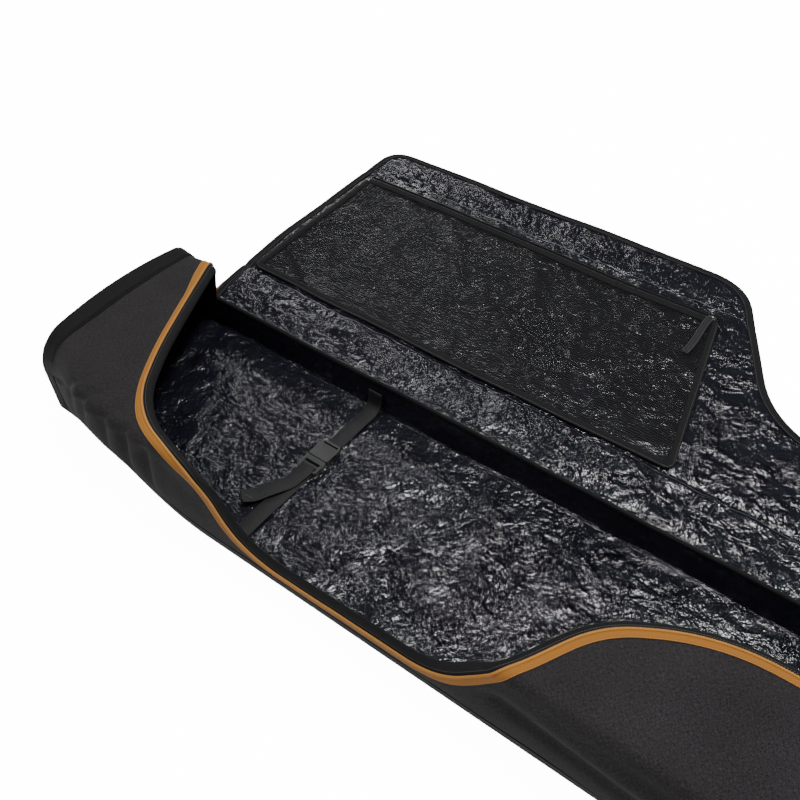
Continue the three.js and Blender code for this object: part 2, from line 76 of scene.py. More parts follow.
def smooth(t):
    """A soft step from 0 to 1."""
    t = np.clip(t, 0.0, 1.0)
    return t * t * (3 - 2 * t)


def bell(distance, width):
    """1 at no distance, fading softly to 0 over about this width."""
    return np.exp(-(distance / width) ** 2)


def rounded_outline(corners, steps=14):
    """A closed outline from (x, y, radius) corners, each rounded over its radius."""
    points = []
    count = len(corners)
    for i, (x, y, radius) in enumerate(corners):
        corner = np.array([x, y])
        if radius == 0:
            points.append(corner)
            continue
        before = np.array(corners[i - 1][:2]) - corner
        after = np.array(corners[(i + 1) % count][:2]) - corner
        start = corner + before / np.linalg.norm(before) * radius
        end = corner + after / np.linalg.norm(after) * radius
        for t in np.linspace(0, 1, steps):
            points.append((1 - t) ** 2 * start + 2 * t * (1 - t) * corner + t * t * end)
    return np.array(points)


def resampled(points, spacing, closed=False):
    """The same line with points at an even spacing."""
    if closed:
        points = np.vstack([points, points[:1]])
    steps = np.linalg.norm(np.diff(points, axis=0), axis=1)
    keep = np.concatenate([[True], steps > 1e-7])
    points = points[keep]
    along = np.concatenate([[0], np.cumsum(np.linalg.norm(np.diff(points, axis=0), axis=1))])
    count = max(2, int(round(along[-1] / spacing)) + 1)
    places = np.linspace(0, along[-1], count)
    return np.stack([np.interp(places, along, points[:, k]) for k in range(points.shape[1])], 1)


def line_normals(line):
    """Unit normals of a flat line, to the right of its direction."""
    direction = np.gradient(line, axis=0)
    direction /= np.linalg.norm(direction, axis=1)[:, None]
    return np.stack([direction[:, 1], -direction[:, 0]], 1)


def outline_distance(x, y, outline):
    """Distance to a closed outline, positive inside it."""
    best = np.full(x.shape, np.inf)
    inside = np.zeros(x.shape, bool)
    for a, b in zip(outline, np.roll(outline, -1, axis=0)):
        edge = b - a
        length = edge @ edge
        if length < 1e-14:
            continue
        t = np.clip(((x - a[0]) * edge[0] + (y - a[1]) * edge[1]) / length, 0, 1)
        best = np.minimum(best, np.hypot(x - a[0] - t * edge[0], y - a[1] - t * edge[1]))
        if a[1] != b[1]:
            crossing = (a[1] > y) != (b[1] > y)
            inside ^= crossing & (x < a[0] + (y - a[1]) / (b[1] - a[1]) * edge[0])
    return np.where(inside, best, -best)


# ---- Repeatable noise -------------------------------------------------------------------------------

def noise(x, y, size, seed):
    """Smooth noise from -1 to 1 with features of about this size."""
    lattice = np.random.default_rng(seed).uniform(-1, 1, (257, 257))
    px, py = x / size + 40.3, y / size + 61.7
    ix, iy = np.floor(px).astype(int), np.floor(py).astype(int)
    fx, fy = smooth(px - ix), smooth(py - iy)
    ix, iy = ix % 256, iy % 256
    low = lattice[ix, iy] * (1 - fx) + lattice[ix + 1, iy] * fx
    high = lattice[ix, iy + 1] * (1 - fx) + lattice[ix + 1, iy + 1] * fx
    return low * (1 - fy) + high * fy


def creases(x, y, size, seed):
    """Sharp ridges like those of a crumpled film, from 0 in the flats to 1 on a ridge."""
    bend_x = x + noise(x, y, size * 1.7, seed + 1) * size * 0.5
    bend_y = y + noise(x, y, size * 1.7, seed + 2) * size * 0.5
    return (1 - np.abs(noise(bend_x, bend_y, size, seed))) ** 3


def layers(kind, x, y, *levels):
    """Several sizes of noise or creases together, each level as (depth in mm, size, seed)."""
    return sum(depth * MM * kind(x, y, size, seed) for depth, size, seed in levels)


# ---- Meshes -----------------------------------------------------------------------------------------

def add_mesh(name, points, faces, uvs=None, material=None, solid=False):
    """A mesh object. The faces of a solid one are turned outwards."""
    mesh = bpy.data.meshes.new(name)
    mesh.from_pydata([tuple(p) for p in points], [], faces)
    if uvs is not None:
        layer = mesh.uv_layers.new(name="cloth")
        loops = np.zeros(len(mesh.loops), np.int32)
        mesh.loops.foreach_get("vertex_index", loops)
        layer.data.foreach_set("uv", np.asarray(uvs, np.float32)[loops].ravel())
    if solid:
        shape = bmesh.new()
        shape.from_mesh(mesh)
        bmesh.ops.recalc_face_normals(shape, faces=shape.faces)
        shape.to_mesh(mesh)
        shape.free()
    mesh.polygons.foreach_set("use_smooth", [True] * len(mesh.polygons))
    mesh.update()
    obj = bpy.data.objects.new(name, mesh)
    bpy.context.scene.collection.objects.link(obj)
    if material is not None:
        mesh.materials.append(material)
    return obj


def clipped_grid(xs, ys, keep):
    """Faces of a grid where keep(x, y) is positive, cut cleanly along its zero line."""
    gx, gy = np.meshgrid(xs, ys, indexing="ij")
    field = keep(gx.ravel(), gy.ravel())
    flat = np.stack([gx.ravel(), gy.ravel()], 1)
    points = list(flat)
    cut = {}

    def crossing(a, b):
        key = (min(a, b), max(a, b))
        if key not in cut:
            t = field[a] / (field[a] - field[b])
            cut[key] = len(points)
            points.append(flat[a] + (flat[b] - flat[a]) * t)
        return cut[key]

    rows = len(ys)
    index = np.arange(len(xs) * rows).reshape(len(xs), rows)
    quads = np.stack([index[:-1, :-1], index[1:, :-1], index[1:, 1:], index[:-1, 1:]], -1).reshape(-1, 4)
    kept = (field[quads] > 0).sum(1)
    faces = [list(quad) for quad in quads[kept == 4]]
    for quad in quads[(kept > 0) & (kept < 4)]:
        face = []
        for a, b in zip(quad, np.roll(quad, -1)):
            if field[a] > 0:
                face.append(a)
            if (field[a] > 0) != (field[b] > 0):
                face.append(crossing(a, b))
        if len(face) > 2:
            faces.append(face)
    used = np.unique(np.concatenate([np.array(face) for face in faces]))
    order = np.full(len(points), -1)
    order[used] = np.arange(len(used))
    return np.array(points)[used], [[int(order[v]) for v in face] for face in faces]


def even_steps(low, high, spacing):
    return np.linspace(low, high, max(2, int(round((high - low) / spacing)) + 1))


def sheet(name, xs, ys, keep, place, material, thickness=0.0, flip=False):
    """A cloth sheet: a clipped grid put in space by place(x, y, height), which includes its folds."""
    flat, faces = clipped_grid(xs, ys, keep)
    points = place(flat[:, 0], flat[:, 1], 0.0)
    if flip:
        faces = [face[::-1] for face in faces]
    obj = add_mesh(name, points, faces, flat, material)
    if thickness:
        thicken(obj, thickness)
    return obj


def thicken(obj, thickness):
    solid = obj.modifiers.new("thickness", "SOLIDIFY")
    solid.thickness = thickness
    solid.offset = -1


def ring_faces(count, size):
    """Faces between count rings of size points each."""
    index = np.arange(count * size).reshape(count, size)
    turned = np.roll(index, -1, axis=1)
    return np.stack([index[:-1], index[1:], turned[1:], turned[:-1]], -1).reshape(-1, 4).tolist()


def tube_faces(count, size):
    """The same faces with the first and the last ring closed."""
    last = range((count - 1) * size, count * size)
    return ring_faces(count, size) + [list(range(size)), list(last)[::-1]]


def tube_flat(centres, profile):
    """Flat coordinates of a tube: the distance along it and the distance round its profile."""
    along = np.concatenate([[0], np.cumsum(np.linalg.norm(np.diff(centres, axis=0), axis=1))])
    round_it = np.concatenate([[0], np.cumsum(np.linalg.norm(np.diff(profile, axis=0), axis=1))])
    return np.stack(np.meshgrid(along, round_it, indexing="ij"), -1).reshape(-1, 2)


def sweep(name, centres, up, profile, material):
    """A closed profile of (across, up) points carried along a line in space."""
    profile = np.array(profile)
    across, up = line_frame(centres, up)
    points = centres[:, None] + profile[None, :, :1] * across[:, None] + profile[None, :, 1:] * up[:, None]
    faces = tube_faces(len(centres), len(profile))
    return add_mesh(name, points.reshape(-1, 3), faces, tube_flat(centres, profile), material, True)


def edging(name, line, place, profile, material, widths=1.0):
    """A closed profile of (outwards, height) points carried along a flat line on a cloth surface."""
    profile = np.array(profile)
    normals = line_normals(line) * np.broadcast_to(widths, len(line))[:, None]
    flat = line[:, None] + normals[:, None] * profile[None, :, :1]
    heights = np.broadcast_to(profile[None, :, 1], flat.shape[:2])
    points = place(flat[..., 0].ravel(), flat[..., 1].ravel(), heights.ravel())
    faces = tube_faces(len(line), len(profile))
    return add_mesh(name, points, faces, tube_flat(line, profile), material, True)


def ellipse(width, height, count=12, centre=(0.0, 0.0)):
    turn = np.linspace(0, 2 * math.pi, count, endpoint=False)
    return np.stack([centre[0] + np.cos(turn) * width / 2, centre[1] + np.sin(turn) * height / 2], 1)


def flat_band(width, height, centre=(0.0, 0.0), corner=0.35):
    """A flat band's section with softened corners."""
    w, h = width / 2, height / 2
    c = min(corner * height, h)
    points = [(-w, -h + c), (-w + c, -h), (0, -h), (w - c, -h), (w, -h + c),
              (w, h - c), (w - c, h), (0, h), (-w + c, h), (-w, h - c)]
    return np.array(points) + np.array(centre)


def line_frame(points, up):
    """Unit vectors across a 3D line and up from it, given rough up vectors."""
    along = np.gradient(points, axis=0)
    along /= np.linalg.norm(along, axis=1)[:, None]
    up = np.broadcast_to(up, points.shape)
    across = np.cross(along, up)
    across /= np.linalg.norm(across, axis=1)[:, None]
    return across, np.cross(across, along)


# ---- Materials --------------------------------------------------------------------------------------

class Finish:
    """A material and the nodes that make its colour, roughness and relief."""

    def __init__(self, name):
        self.material = bpy.data.materials.new(name)
        self.material.use_nodes = True
        self.tree = self.material.node_tree
        self.shader = self.tree.nodes["Principled BSDF"]

    def node(self, kind, inputs, **settings):
        made = self.tree.nodes.new(kind)
        for key, value in settings.items():
            setattr(made, key, value)
        for key, value in inputs.items():
            self.feed(made, key, value)
        return made

    def feed(self, made, key, value):
        socket = made.inputs[key]
        if isinstance(value, bpy.types.NodeSocket):
            self.tree.links.new(value, socket)
        else:
            socket.default_value = value

    def place(self, scale=(1, 1, 1), turn=0.0, flat=True):
        """Where the texture is read: along the cloth if flat, or else in space."""
        source = self.node("ShaderNodeTexCoord", {}).outputs["UV" if flat else "Object"]
        inputs = {"Vector": source, "Scale": scale, "Rotation": (0, 0, turn)}
        return self.node("ShaderNodeMapping", inputs).outputs[0]

    def noise(self, where, scale, detail=3.0, rough=0.55, warp=0.0):
        return self.node("ShaderNodeTexNoise", {
            "Vector": where, "Scale": scale, "Detail": detail, "Roughness": rough, "Distortion": warp,
        }).outputs["Fac"]

    def ridges(self, where, scale):
        """Sharp-edged creases."""
        return self.node("ShaderNodeTexNoise", {
            "Vector": where, "Scale": scale, "Detail": 3.0, "Roughness": 0.5, "Distortion": 0.6,
            "Lacunarity": 2.1, "Offset": 1.0, "Gain": 2.0,
        }, noise_type="RIDGED_MULTIFRACTAL", normalize=True).outputs["Fac"]

    def ribs(self, where, pitch, axis):
        return self.node("ShaderNodeTexWave", {"Vector": where, "Scale": math.pi / 10 / pitch},
                         bands_direction=axis, wave_profile="SIN").outputs["Fac"]

    def sums(self, kind, a, b):
        return self.node("ShaderNodeMath", {0: a, 1: b}, operation=kind).outputs[0]

    def ramp(self, value, low, high, start=0.0, end=1.0):
        """Turns a value between start and end into one between low and high."""
        return self.node("ShaderNodeMapRange", {
            "Value": value, "From Min": start, "From Max": end, "To Min": low, "To Max": high,
        }).outputs[0]

    def mix(self, share, a, b):
        made = self.node("ShaderNodeMix", {0: share}, data_type="RGBA")
        self.feed(made, 6, a)
        self.feed(made, 7, b)
        return made.outputs[2]

    def bump(self, height, distance, strength=1.0, under=None):
        inputs = {"Height": height, "Distance": distance, "Strength": strength}
        if under is not None:
            inputs["Normal"] = under
        return self.node("ShaderNodeBump", inputs).outputs[0]

    def finish(self, **inputs):
        for key, value in inputs.items():
            self.feed(self.shader, key.replace("_", " "), value)
        return self.material


def grey(value, tint=(1.0, 1.0, 1.0)):
    return (value * tint[0], value * tint[1], value * tint[2], 1.0)


def weave_height(f, thread):
    """Over-and-under threads of about this width."""
    warp = f.ribs(f.place(), thread, "X")
    weft = f.ribs(f.place(), thread, "Y")
    return f.sums("MULTIPLY", warp, weft)


def heather_cloth(name, dark, light):
    """Melange polyester: dark threads flecked with paler ones, slightly fuzzy."""
    f = Finish(name)
    flecks_long = f.noise(f.place((260, 1500, 900)), 1.0, 2.0)
    flecks_wide = f.noise(f.place((1500, 260, 900)), 1.0, 2.0)
    patches = f.noise(f.place(), 9.0, 4.0)
    flecks = f.sums("MULTIPLY", flecks_long, flecks_wide)
    share = f.ramp(flecks, 0.0, 1.0, 0.14, 0.42)
    colour = f.mix(share, dark, light)
    colour = f.mix(f.ramp(patches, 0.0, 0.35, 0.35, 0.75), colour, grey(0.004))
    weave = f.bump(weave_height(f, 1.1 * MM), 0.35 * MM, 0.55)
    slub = f.bump(flecks, 0.4 * MM, 0.4, weave)
    ripple = f.bump(f.noise(f.place(), 38.0, 4.0), 1.4 * MM, 0.35, slub)
    return f.finish(Base_Color=colour, Roughness=f.ramp(patches, 0.72, 0.92), Normal=ripple,
                    Sheen_Weight=0.03, Sheen_Roughness=0.4, Specular_IOR_Level=0.22)


def coated_film(name):
    """Shiny crinkled lining film over a scrim: flat dark patches beside patches full of tiny glints."""
    f = Finish(name)
    where = f.place()
    broad = f.noise(where, 16.0, 4.0, 0.6, 0.8)
    folds = f.ridges(where, 34.0)
    wrinkles = f.ridges(where, 95.0)
    grain = f.noise(where, 430.0, 2.0, 0.6)
    scrim = weave_height(f, 2.2 * MM)
    patches = f.ramp(f.noise(where, 17.0, 4.0, 0.6, 1.5), 0.0, 1.0, 0.5, 0.62)
    relief = f.bump(f.sums("MULTIPLY", grain, patches), 0.6 * MM, 1.0)
    relief = f.bump(f.sums("MULTIPLY", scrim, patches), 0.35 * MM, 0.8, relief)
    relief = f.bump(wrinkles, 0.6 * MM, 0.45, relief)
    relief = f.bump(folds, 1.9 * MM, 0.5, relief)
    relief = f.bump(broad, 16 * MM, 0.7, relief)
    colour = f.mix(patches, (0.005, 0.005, 0.009, 1), (0.004, 0.004, 0.006, 1))
    return f.finish(Base_Color=colour, Roughness=f.ramp(patches, 0.22, 0.13), Normal=relief,
                    Specular_IOR_Level=0.75)


def ribbed_tape(name, colour, rib=0.9 * MM, rough=0.8, flat=True, shine=0.3):
    """Grosgrain: fine ribs across the tape and a slight fuzz."""
    f = Finish(name)
    ribs = f.ribs(f.place(flat=flat), rib, "X")
    speck = f.noise(f.place((900, 900, 900), flat=flat), 1.0, 2.0)
    tone = f.mix(f.ramp(speck, 0.0, 0.5), grey(1.0, colour), grey(1.9, colour))
    relief = f.bump(ribs, 0.3 * MM, 0.6)
    relief = f.bump(f.noise(f.place(flat=flat), 90.0, 3.0), 0.6 * MM, 0.4, relief)
    return f.finish(Base_Color=tone, Roughness=rough, Normal=relief, Specular_IOR_Level=shine,
                    Sheen_Weight=0.02, Sheen_Roughness=0.4)


def webbing_weave(name, colour):
    """Heavy flat webbing: a herringbone of diagonal ribs either side of its centre."""
    f = Finish(name)
    left = f.ribs(f.place(turn=0.7), 1.3 * MM, "X")
    right = f.ribs(f.place(turn=-0.7), 1.3 * MM, "X")
    bars = f.ribs(f.place(), 4.0 * MM, "Y")
    weave = f.mix(f.ramp(bars, 0.0, 1.0, 0.45, 0.55), grey(1.0), grey(0.0))
    height = f.mix(weave, left, right)
    speck = f.noise(f.place((700, 700, 700)), 1.0, 2.0)
    tone = f.mix(f.ramp(speck, 0.0, 0.6), grey(1.0, colour), grey(2.0, colour))
    relief = f.bump(height, 0.35 * MM, 0.6)
    return f.finish(Base_Color=tone, Roughness=0.66, Normal=relief, Specular_IOR_Level=0.4,
                    Sheen_Weight=0.02, Sheen_Roughness=0.4)


def tarpaulin_sheet(name):
    """Coated base cloth: a grid of scrim threads under a dull coating, scuffed."""
    f = Finish(name)
    scuffs = f.noise(f.place((30, 220, 60)), 1.0, 5.0)
    relief = f.bump(weave_height(f, 2.4 * MM), 0.25 * MM, 0.5)
    relief = f.bump(f.noise(f.place(), 45.0, 3.0), 0.8 * MM, 0.3, relief)
    colour = f.mix(f.ramp(scuffs, 0.0, 0.5, 0.45, 0.8), grey(0.010), grey(0.032))
    return f.finish(Base_Color=colour, Roughness=f.ramp(scuffs, 0.42, 0.62), Normal=relief,
                    Specular_IOR_Level=0.45)


def knitted_mesh(name):
    """Open pocket mesh: a hexagonal net whose holes are see-through."""
    f = Finish(name)
    where = f.place()
    pitch = 5.0 * MM
    split = f.node("ShaderNodeSeparateXYZ", {"Vector": where})
    first = f.sums("SINE", f.sums("MULTIPLY", split.outputs[0], 2 * math.pi / pitch), 0.0)
    second = f.sums("SINE", f.sums("MULTIPLY", split.outputs[1], math.pi / pitch * 1.1547), 0.0)
    turned = f.sums("MULTIPLY", first, second)
    hole = f.ramp(turned, 1.0, 0.0, 0.24, 0.36)
    under = f.ramp(turned, 1.0, 0.0, -0.24, -0.36)
    cover = f.sums("MULTIPLY", hole, under)
    speck = f.noise(f.place((500, 500, 500)), 1.0, 1.0)
    relief = f.bump(cover, 0.5 * MM, 0.8)
    return f.finish(Base_Color=f.mix(speck, grey(0.0025), grey(0.008)), Roughness=0.7, Normal=relief,
                    Specular_IOR_Level=0.3, Alpha=cover)


def moulded_nylon(name):
    """Acetal buckle plastic: satin, with a fine eroded texture and a lighter colour on its convex edges."""
    f = Finish(name)
    grain = f.noise(f.place(flat=False), 2400.0, 2.0)
    convexity = f.node("ShaderNodeNewGeometry", {}).outputs["Pointiness"]
    # The colour is lighter where the surface is convex, along the edges.
    colour = f.mix(f.ramp(convexity, 0.0, 0.6, 0.5, 0.6), grey(0.010), grey(0.05))
    relief = f.bump(grain, 0.06 * MM, 0.5)
    return f.finish(Base_Color=colour, Roughness=f.ramp(grain, 0.3, 0.46), Normal=relief)


def plated_metal(name):
    """Dark plated zinc with fine scratches and brighter edges."""
    f = Finish(name)
    scratch = f.noise(f.place((300, 2600, 900), flat=False), 1.0, 3.0)
    convexity = f.node("ShaderNodeNewGeometry", {}).outputs["Pointiness"]
    dark, edge_colour = grey(0.10, (1, 0.95, 0.9)), grey(0.45, (1, 0.96, 0.9))
    # The colour is brighter where the surface is convex, along the edges.
    colour = f.mix(f.ramp(convexity, 0.0, 0.8, 0.5, 0.58), dark, edge_colour)
    return f.finish(Base_Color=colour, Metallic=1.0, Roughness=f.ramp(scratch, 0.26, 0.5),
                    Normal=f.bump(scratch, 0.05 * MM, 0.4))


def foam_sheet(name):
    f = Finish(name)
    cells = f.noise(f.place(flat=False), 700.0, 3.0)
    return f.finish(Base_Color=f.mix(cells, grey(0.2), grey(0.32)), Roughness=0.95,
                    Normal=f.bump(cells, 0.4 * MM, 0.6))


def thread(name, colour):
    f = Finish(name)
    strand = f.noise(f.place(flat=False), 3000.0, 1.0)
    return f.finish(Base_Color=f.mix(strand, grey(0.7, colour), grey(1.4, colour)), Roughness=0.6)


MUSTARD = (0.215, 0.083, 0.0085)
BLACK = (0.0026, 0.0026, 0.003)

shell_cloth = heather_cloth("shell_cloth", grey(0.0045, (1, 0.9, 0.97)), grey(0.038, (1, 0.89, 0.97)))
film = coated_film("lining_film")
tarpaulin = tarpaulin_sheet("tarpaulin")
black_tape = ribbed_tape("black_tape", BLACK)
mustard_tape = ribbed_tape("mustard_tape", MUSTARD, 0.8 * MM, 0.7)
mustard_teeth = ribbed_tape("mustard_teeth", (0.3, 0.13, 0.018), 0.8 * MM, 0.45, False, 0.5)
black_teeth = ribbed_tape("black_teeth", (0.012, 0.012, 0.013), 0.8 * MM, 0.4, False, 0.5)
webbing = webbing_weave("webbing", (0.0062, 0.0062, 0.007))
net = knitted_mesh("pocket_net")
nylon = moulded_nylon("buckle_nylon")
metal = plated_metal("dark_metal")
foam = foam_sheet("padding_foam")
black_thread = thread("black_thread", (0.02, 0.02, 0.022))
grey_thread = thread("grey_thread", (0.045, 0.045, 0.048))
tan_thread = thread("tan_thread", (0.36, 0.17, 0.04))


# ---- Driving sizes, from the frame ------------------------------------------------------------------

def box(node):
    low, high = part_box(node)
    return np.array(low), np.array(high)


END_X = box("tail_end_wall")[1][0]
HALF_WIDTH = box("tail_hood")[1][1]
HEIGHT = box("tail_hood")[1][2]
END_HEIGHT = box("tail_end_wall")[1][2]
FLOOR = box("floor_lining")[1][2]
MOUTH_NOSE = box("hinge_piping")[0][0] - 4 * MM
MOUTH_TAIL = box("hinge_piping")[1][0] + 4 * MM
LID_NOSE = box("lid_spine_binding_nose")[0][0]
LID_TAIL = box("lid_spine_binding_tail")[1][0]
WIDE_NOSE = box("lid_front_binding")[0][0]
WIDE_TAIL = MOUTH_NOSE + 690 * MM
SPINE = np.linalg.norm(TOP_FOLD - HINGE)
TOP = np.linalg.norm(FRONT_FOLD - TOP_FOLD)
RISE = math.atan2(TOP_FOLD[2] - HINGE[2], SPINE)
LID_DEPTH = SPINE + TOP + (box("lid_front_binding")[1][1] - FRONT_FOLD[1]) / math.cos(3 * RISE)
NARROW_DEPTH = 240 * MM
SEAM_BAND = box("nose_end_band")[1][0] - box("nose_end_band")[0][0]
STRAP_X = (box("tail_strap_near")[0][0] + box("tail_strap_near")[1][0]) / 2
CLOTH_THICKNESS = 1.4 * MM


# ---- The body's surface -----------------------------------------------------------------------------
# w runs from the ground under the far wall, up that wall, across the roof and down the near wall to the base.

TOP_ROUND = 16 * MM
BASE_ROUND = 10 * MM
TOP_ARC = TOP_ROUND * math.pi / 2
MOUTH_CORNER = MOUTH_NOSE + 242 * MM
MOUTH_RISE = MOUTH_NOSE + 755 * MM
BASE_ARC = BASE_ROUND * math.pi / 2
WALL = HEIGHT - TOP_ROUND - BASE_ROUND
ROOF = 2 * (HALF_WIDTH - TOP_ROUND)
BASE = 2 * (HALF_WIDTH - BASE_ROUND)
W_ROOF = BASE_ARC + WALL + TOP_ARC
W_NEAR = W_ROOF + ROOF + TOP_ARC
W_BASE = W_NEAR + WALL + BASE_ARC
W_ALL = W_BASE + BASE
END_ROUND = 7 * MM
HINGE_CUT = BASE_ARC + HINGE[2] - BASE_ROUND

# The section narrows towards the ends: half width at the end and in the middle in mm, and the length
# over which it fills out.
FAR_BASE_TAPER = (150, 164.5, 58 * MM)
FAR_ROOF_TAPER = (170, 165.5, 58 * MM)
NEAR_BASE_TAPER = (121, 162.5, 360 * MM)
NEAR_ROOF_TAPER = (128, 165.5, 175 * MM)

# The near top edge is rounded off at the ends. The roof's rim stands proud there, most at this y.
NEAR_END_ROUND = 48 * MM
END_FULLNESS = 13 * MM
FULLEST_Y = 40 * MM
FULL_REACH = 175 * MM


def section(w):
    """y, z and the outward direction at w on the middle section."""
    w = np.mod(w, W_ALL)

    def share(start, length):
        return np.clip((w - start) / length, 0, 1)

    far, roof = share(BASE_ARC, WALL), share(W_ROOF, ROOF)
    near, base = share(W_NEAR, WALL), share(W_BASE, BASE)
    arcs = share(0, BASE_ARC) + share(W_ROOF - TOP_ARC, TOP_ARC)
    arcs = arcs + share(W_NEAR - TOP_ARC, TOP_ARC) + share(W_BASE - BASE_ARC, BASE_ARC)
    angle = (arcs - 1) * math.pi / 2
    radius = BASE_ROUND + (TOP_ROUND - BASE_ROUND) * (far - near)
    centre_y = HALF_WIDTH - BASE_ROUND + (BASE_ROUND - TOP_ROUND) * (far + near) - ROOF * roof + BASE * base
    centre_z = BASE_ROUND + WALL * (far - near)
    out_y, out_z = np.cos(angle), np.sin(angle)
    return centre_y + radius * out_y, centre_z + radius * out_z, out_y, out_z


def grow(distance, low, full, over):
    """A share of the full size, from low / full at no distance to 1 at the distance over."""
    return (low + (full - low) * smooth(distance / over)) / full


def drag_fold(x, w, start, end, depth, width):
    """A soft valley with a low ridge beside it, running from start to end and fading at both."""
    start, end = np.array(start), np.array(end)
    length = np.hypot(*(end - start))
    along = ((x - start[0]) * (end[0] - start[0]) + (w - start[1]) * (end[1] - start[1])) / length
    across = ((x - start[0]) * (end[1] - start[1]) - (w - start[1]) * (end[0] - start[0])) / length
    across = across + 4 * MM * np.sin(along / length * math.pi)
    fade = np.sin(np.clip(along / length, 0, 1) * math.pi) ** 0.7
    return depth * fade * (0.55 * bell(across - 2 * width, 1.5 * width) - bell(across, width))


def fan_folds(x, w):
    """Folds that fan out over the near side of the nose hood from the mouth's corner."""
    near_edge = W_NEAR - TOP_ARC
    folds = 0.0
    # Each fold's start and end in mm, nosewards of the corner and below the near edge, then its depth.
    for top_back, top_drop, low_back, low_drop, deep in (
            (182, -34, 222, 84, 5), (139, -44, 194, 92, 6), (107, -24, 134, 96, 6.5),
            (74, -2, 84, 92, 7), (36, 14, 34, 92, 6.5)):
        start = (MOUTH_CORNER - top_back * MM, near_edge + top_drop * MM)
        end = (MOUTH_CORNER - low_back * MM, near_edge + low_drop * MM)
        folds = folds + drag_fold(x, w, start, end, deep * MM, 9.5 * MM)
    return folds


def body_relief(x, w):
    """How far the soft cloth stands out from the tailored shape: crown, slump, folds and small ripples."""
    w = np.mod(w, W_ALL)
    standing = smooth((w - BASE_ARC) / (25 * MM)) * (1 - smooth((w - W_NEAR - WALL + 25 * MM) / (25 * MM)))
    from_end = END_X - np.abs(x)
    loose = standing * smooth((from_end - SEAM_BAND * 0.6) / (40 * MM))
    roof = np.clip((w - W_ROOF) / ROOF, 0, 1)
    crown = 5 * MM * np.sin(roof * math.pi) * smooth(from_end / (120 * MM))
    near = np.clip((w - W_NEAR) / WALL, 0, 1)
    far = np.clip((w - BASE_ARC) / WALL, 0, 1)
    bulge = 9 * MM * np.sin(near ** 1.4 * math.pi) + 3 * MM * np.sin(far * math.pi)
    slump_line = W_NEAR + (38 + 16 * np.sin(x * 5.0)) * MM
    slump = bell(w - slump_line, 9 * MM) * smooth((x - MOUTH_CORNER - 60 * MM) / 0.2)
    roll = bell(w - slump_line + 20 * MM, 13 * MM) * smooth((x - MOUTH_RISE + 40 * MM) / 0.15)
    ripples = layers(noise, x, w, (2.6, 0.15, 11), (1.1, 0.052, 12), (0.35, 0.02, 13))
    pulled_up = 5 * MM * smooth((W_ROOF + 0.2 - w) / 0.2) * smooth((w - W_ROOF + 0.03) / 0.03)
    pulled_up = pulled_up * (1 - smooth((x + END_X - 0.1) / 0.2))
    crown = crown + pulled_up * smooth((from_end + 20 * MM) / (40 * MM))
    off_zip = smooth(-(outline_distance(x, w, MOUTH) + 16 * MM) / (22 * MM))
    folds = off_zip * (4 * MM * roll - 4.5 * MM * slump + fan_folds(x, w))
    return loose * (crown + bulge + folds + ripples * (0.4 + 0.6 * off_zip))


def at_hinge(x, w):
    """1 along the hinge seam, fading to 0 away from it."""
    beside = smooth((x - MOUTH_NOSE + 8 * MM) / (16 * MM)) * smooth((MOUTH_TAIL + 8 * MM - x) / (16 * MM))
    return beside * bell(np.mod(w, W_ALL) - HINGE_CUT, 10 * MM)


def body_place(x, w, height):
    """The point of the body's outer cloth at (x, w), raised by height."""
    y, z, out_y, out_z = section(w)
    raised = height + body_relief(x, w) * (1 - at_hinge(x, w)) + 4 * MM * at_hinge(x, w)
    from_end = np.maximum(END_X - np.abs(x), 0)
    rounding = END_ROUND * (1 - np.sqrt(1 - (1 - np.clip(from_end / END_ROUND, 0, 1)) ** 2))
    y = y + out_y * (raised - rounding)
    z = z + out_z * (raised - rounding)
    rise = np.clip(z / HEIGHT, 0, 1)
    far = grow(from_end, *FAR_BASE_TAPER) * (1 - rise) + grow(from_end, *FAR_ROOF_TAPER) * rise
    near = grow(from_end, *NEAR_BASE_TAPER) * (1 - rise) * NEAR_BASE_TAPER[1] / NEAR_ROOF_TAPER[1]
    near = near + grow(from_end, *NEAR_ROOF_TAPER) * rise
    y = y * np.where(y > 0, far, near)
    z = z * grow(from_end, END_HEIGHT, HEIGHT, 60 * MM)
    y, z = round_near_edge(y, z, HALF_WIDTH * near, from_end)
    fullness = np.clip(1 - ((y - FULLEST_Y) / FULL_REACH) ** 2, 0, 1) * (z / HEIGHT) ** 2
    z = z + END_FULLNESS * fullness * (1 - smooth(from_end / (40 * MM)))
    x = x + np.sign(x) * END_FULLNESS * fullness * (1 - smooth(from_end / (90 * MM)))
    return np.stack([x, y, z], 1)


def round_near_edge(y, z, half, from_end):
    """Rounds the upper near edge off towards the bag's ends, as a square turns into a disc."""
    radius = NEAR_END_ROUND * (1 - smooth(from_end / (150 * MM))) + 0.1 * MM
    along = np.clip((-y - half + radius) / radius, 0, 1)
    above = np.clip((z - END_HEIGHT + radius) / radius, 0, 1)
    inside = (along > 0) & (above > 0)
    new_y = -(half - radius + radius * along * np.sqrt(1 - above ** 2 / 2))
    new_z = END_HEIGHT - radius + radius * above * np.sqrt(1 - along ** 2 / 2)
    over = np.maximum(z - END_HEIGHT, 0)
    return np.where(inside, new_y, y), np.where(inside, new_z + over * (1 - along), z)


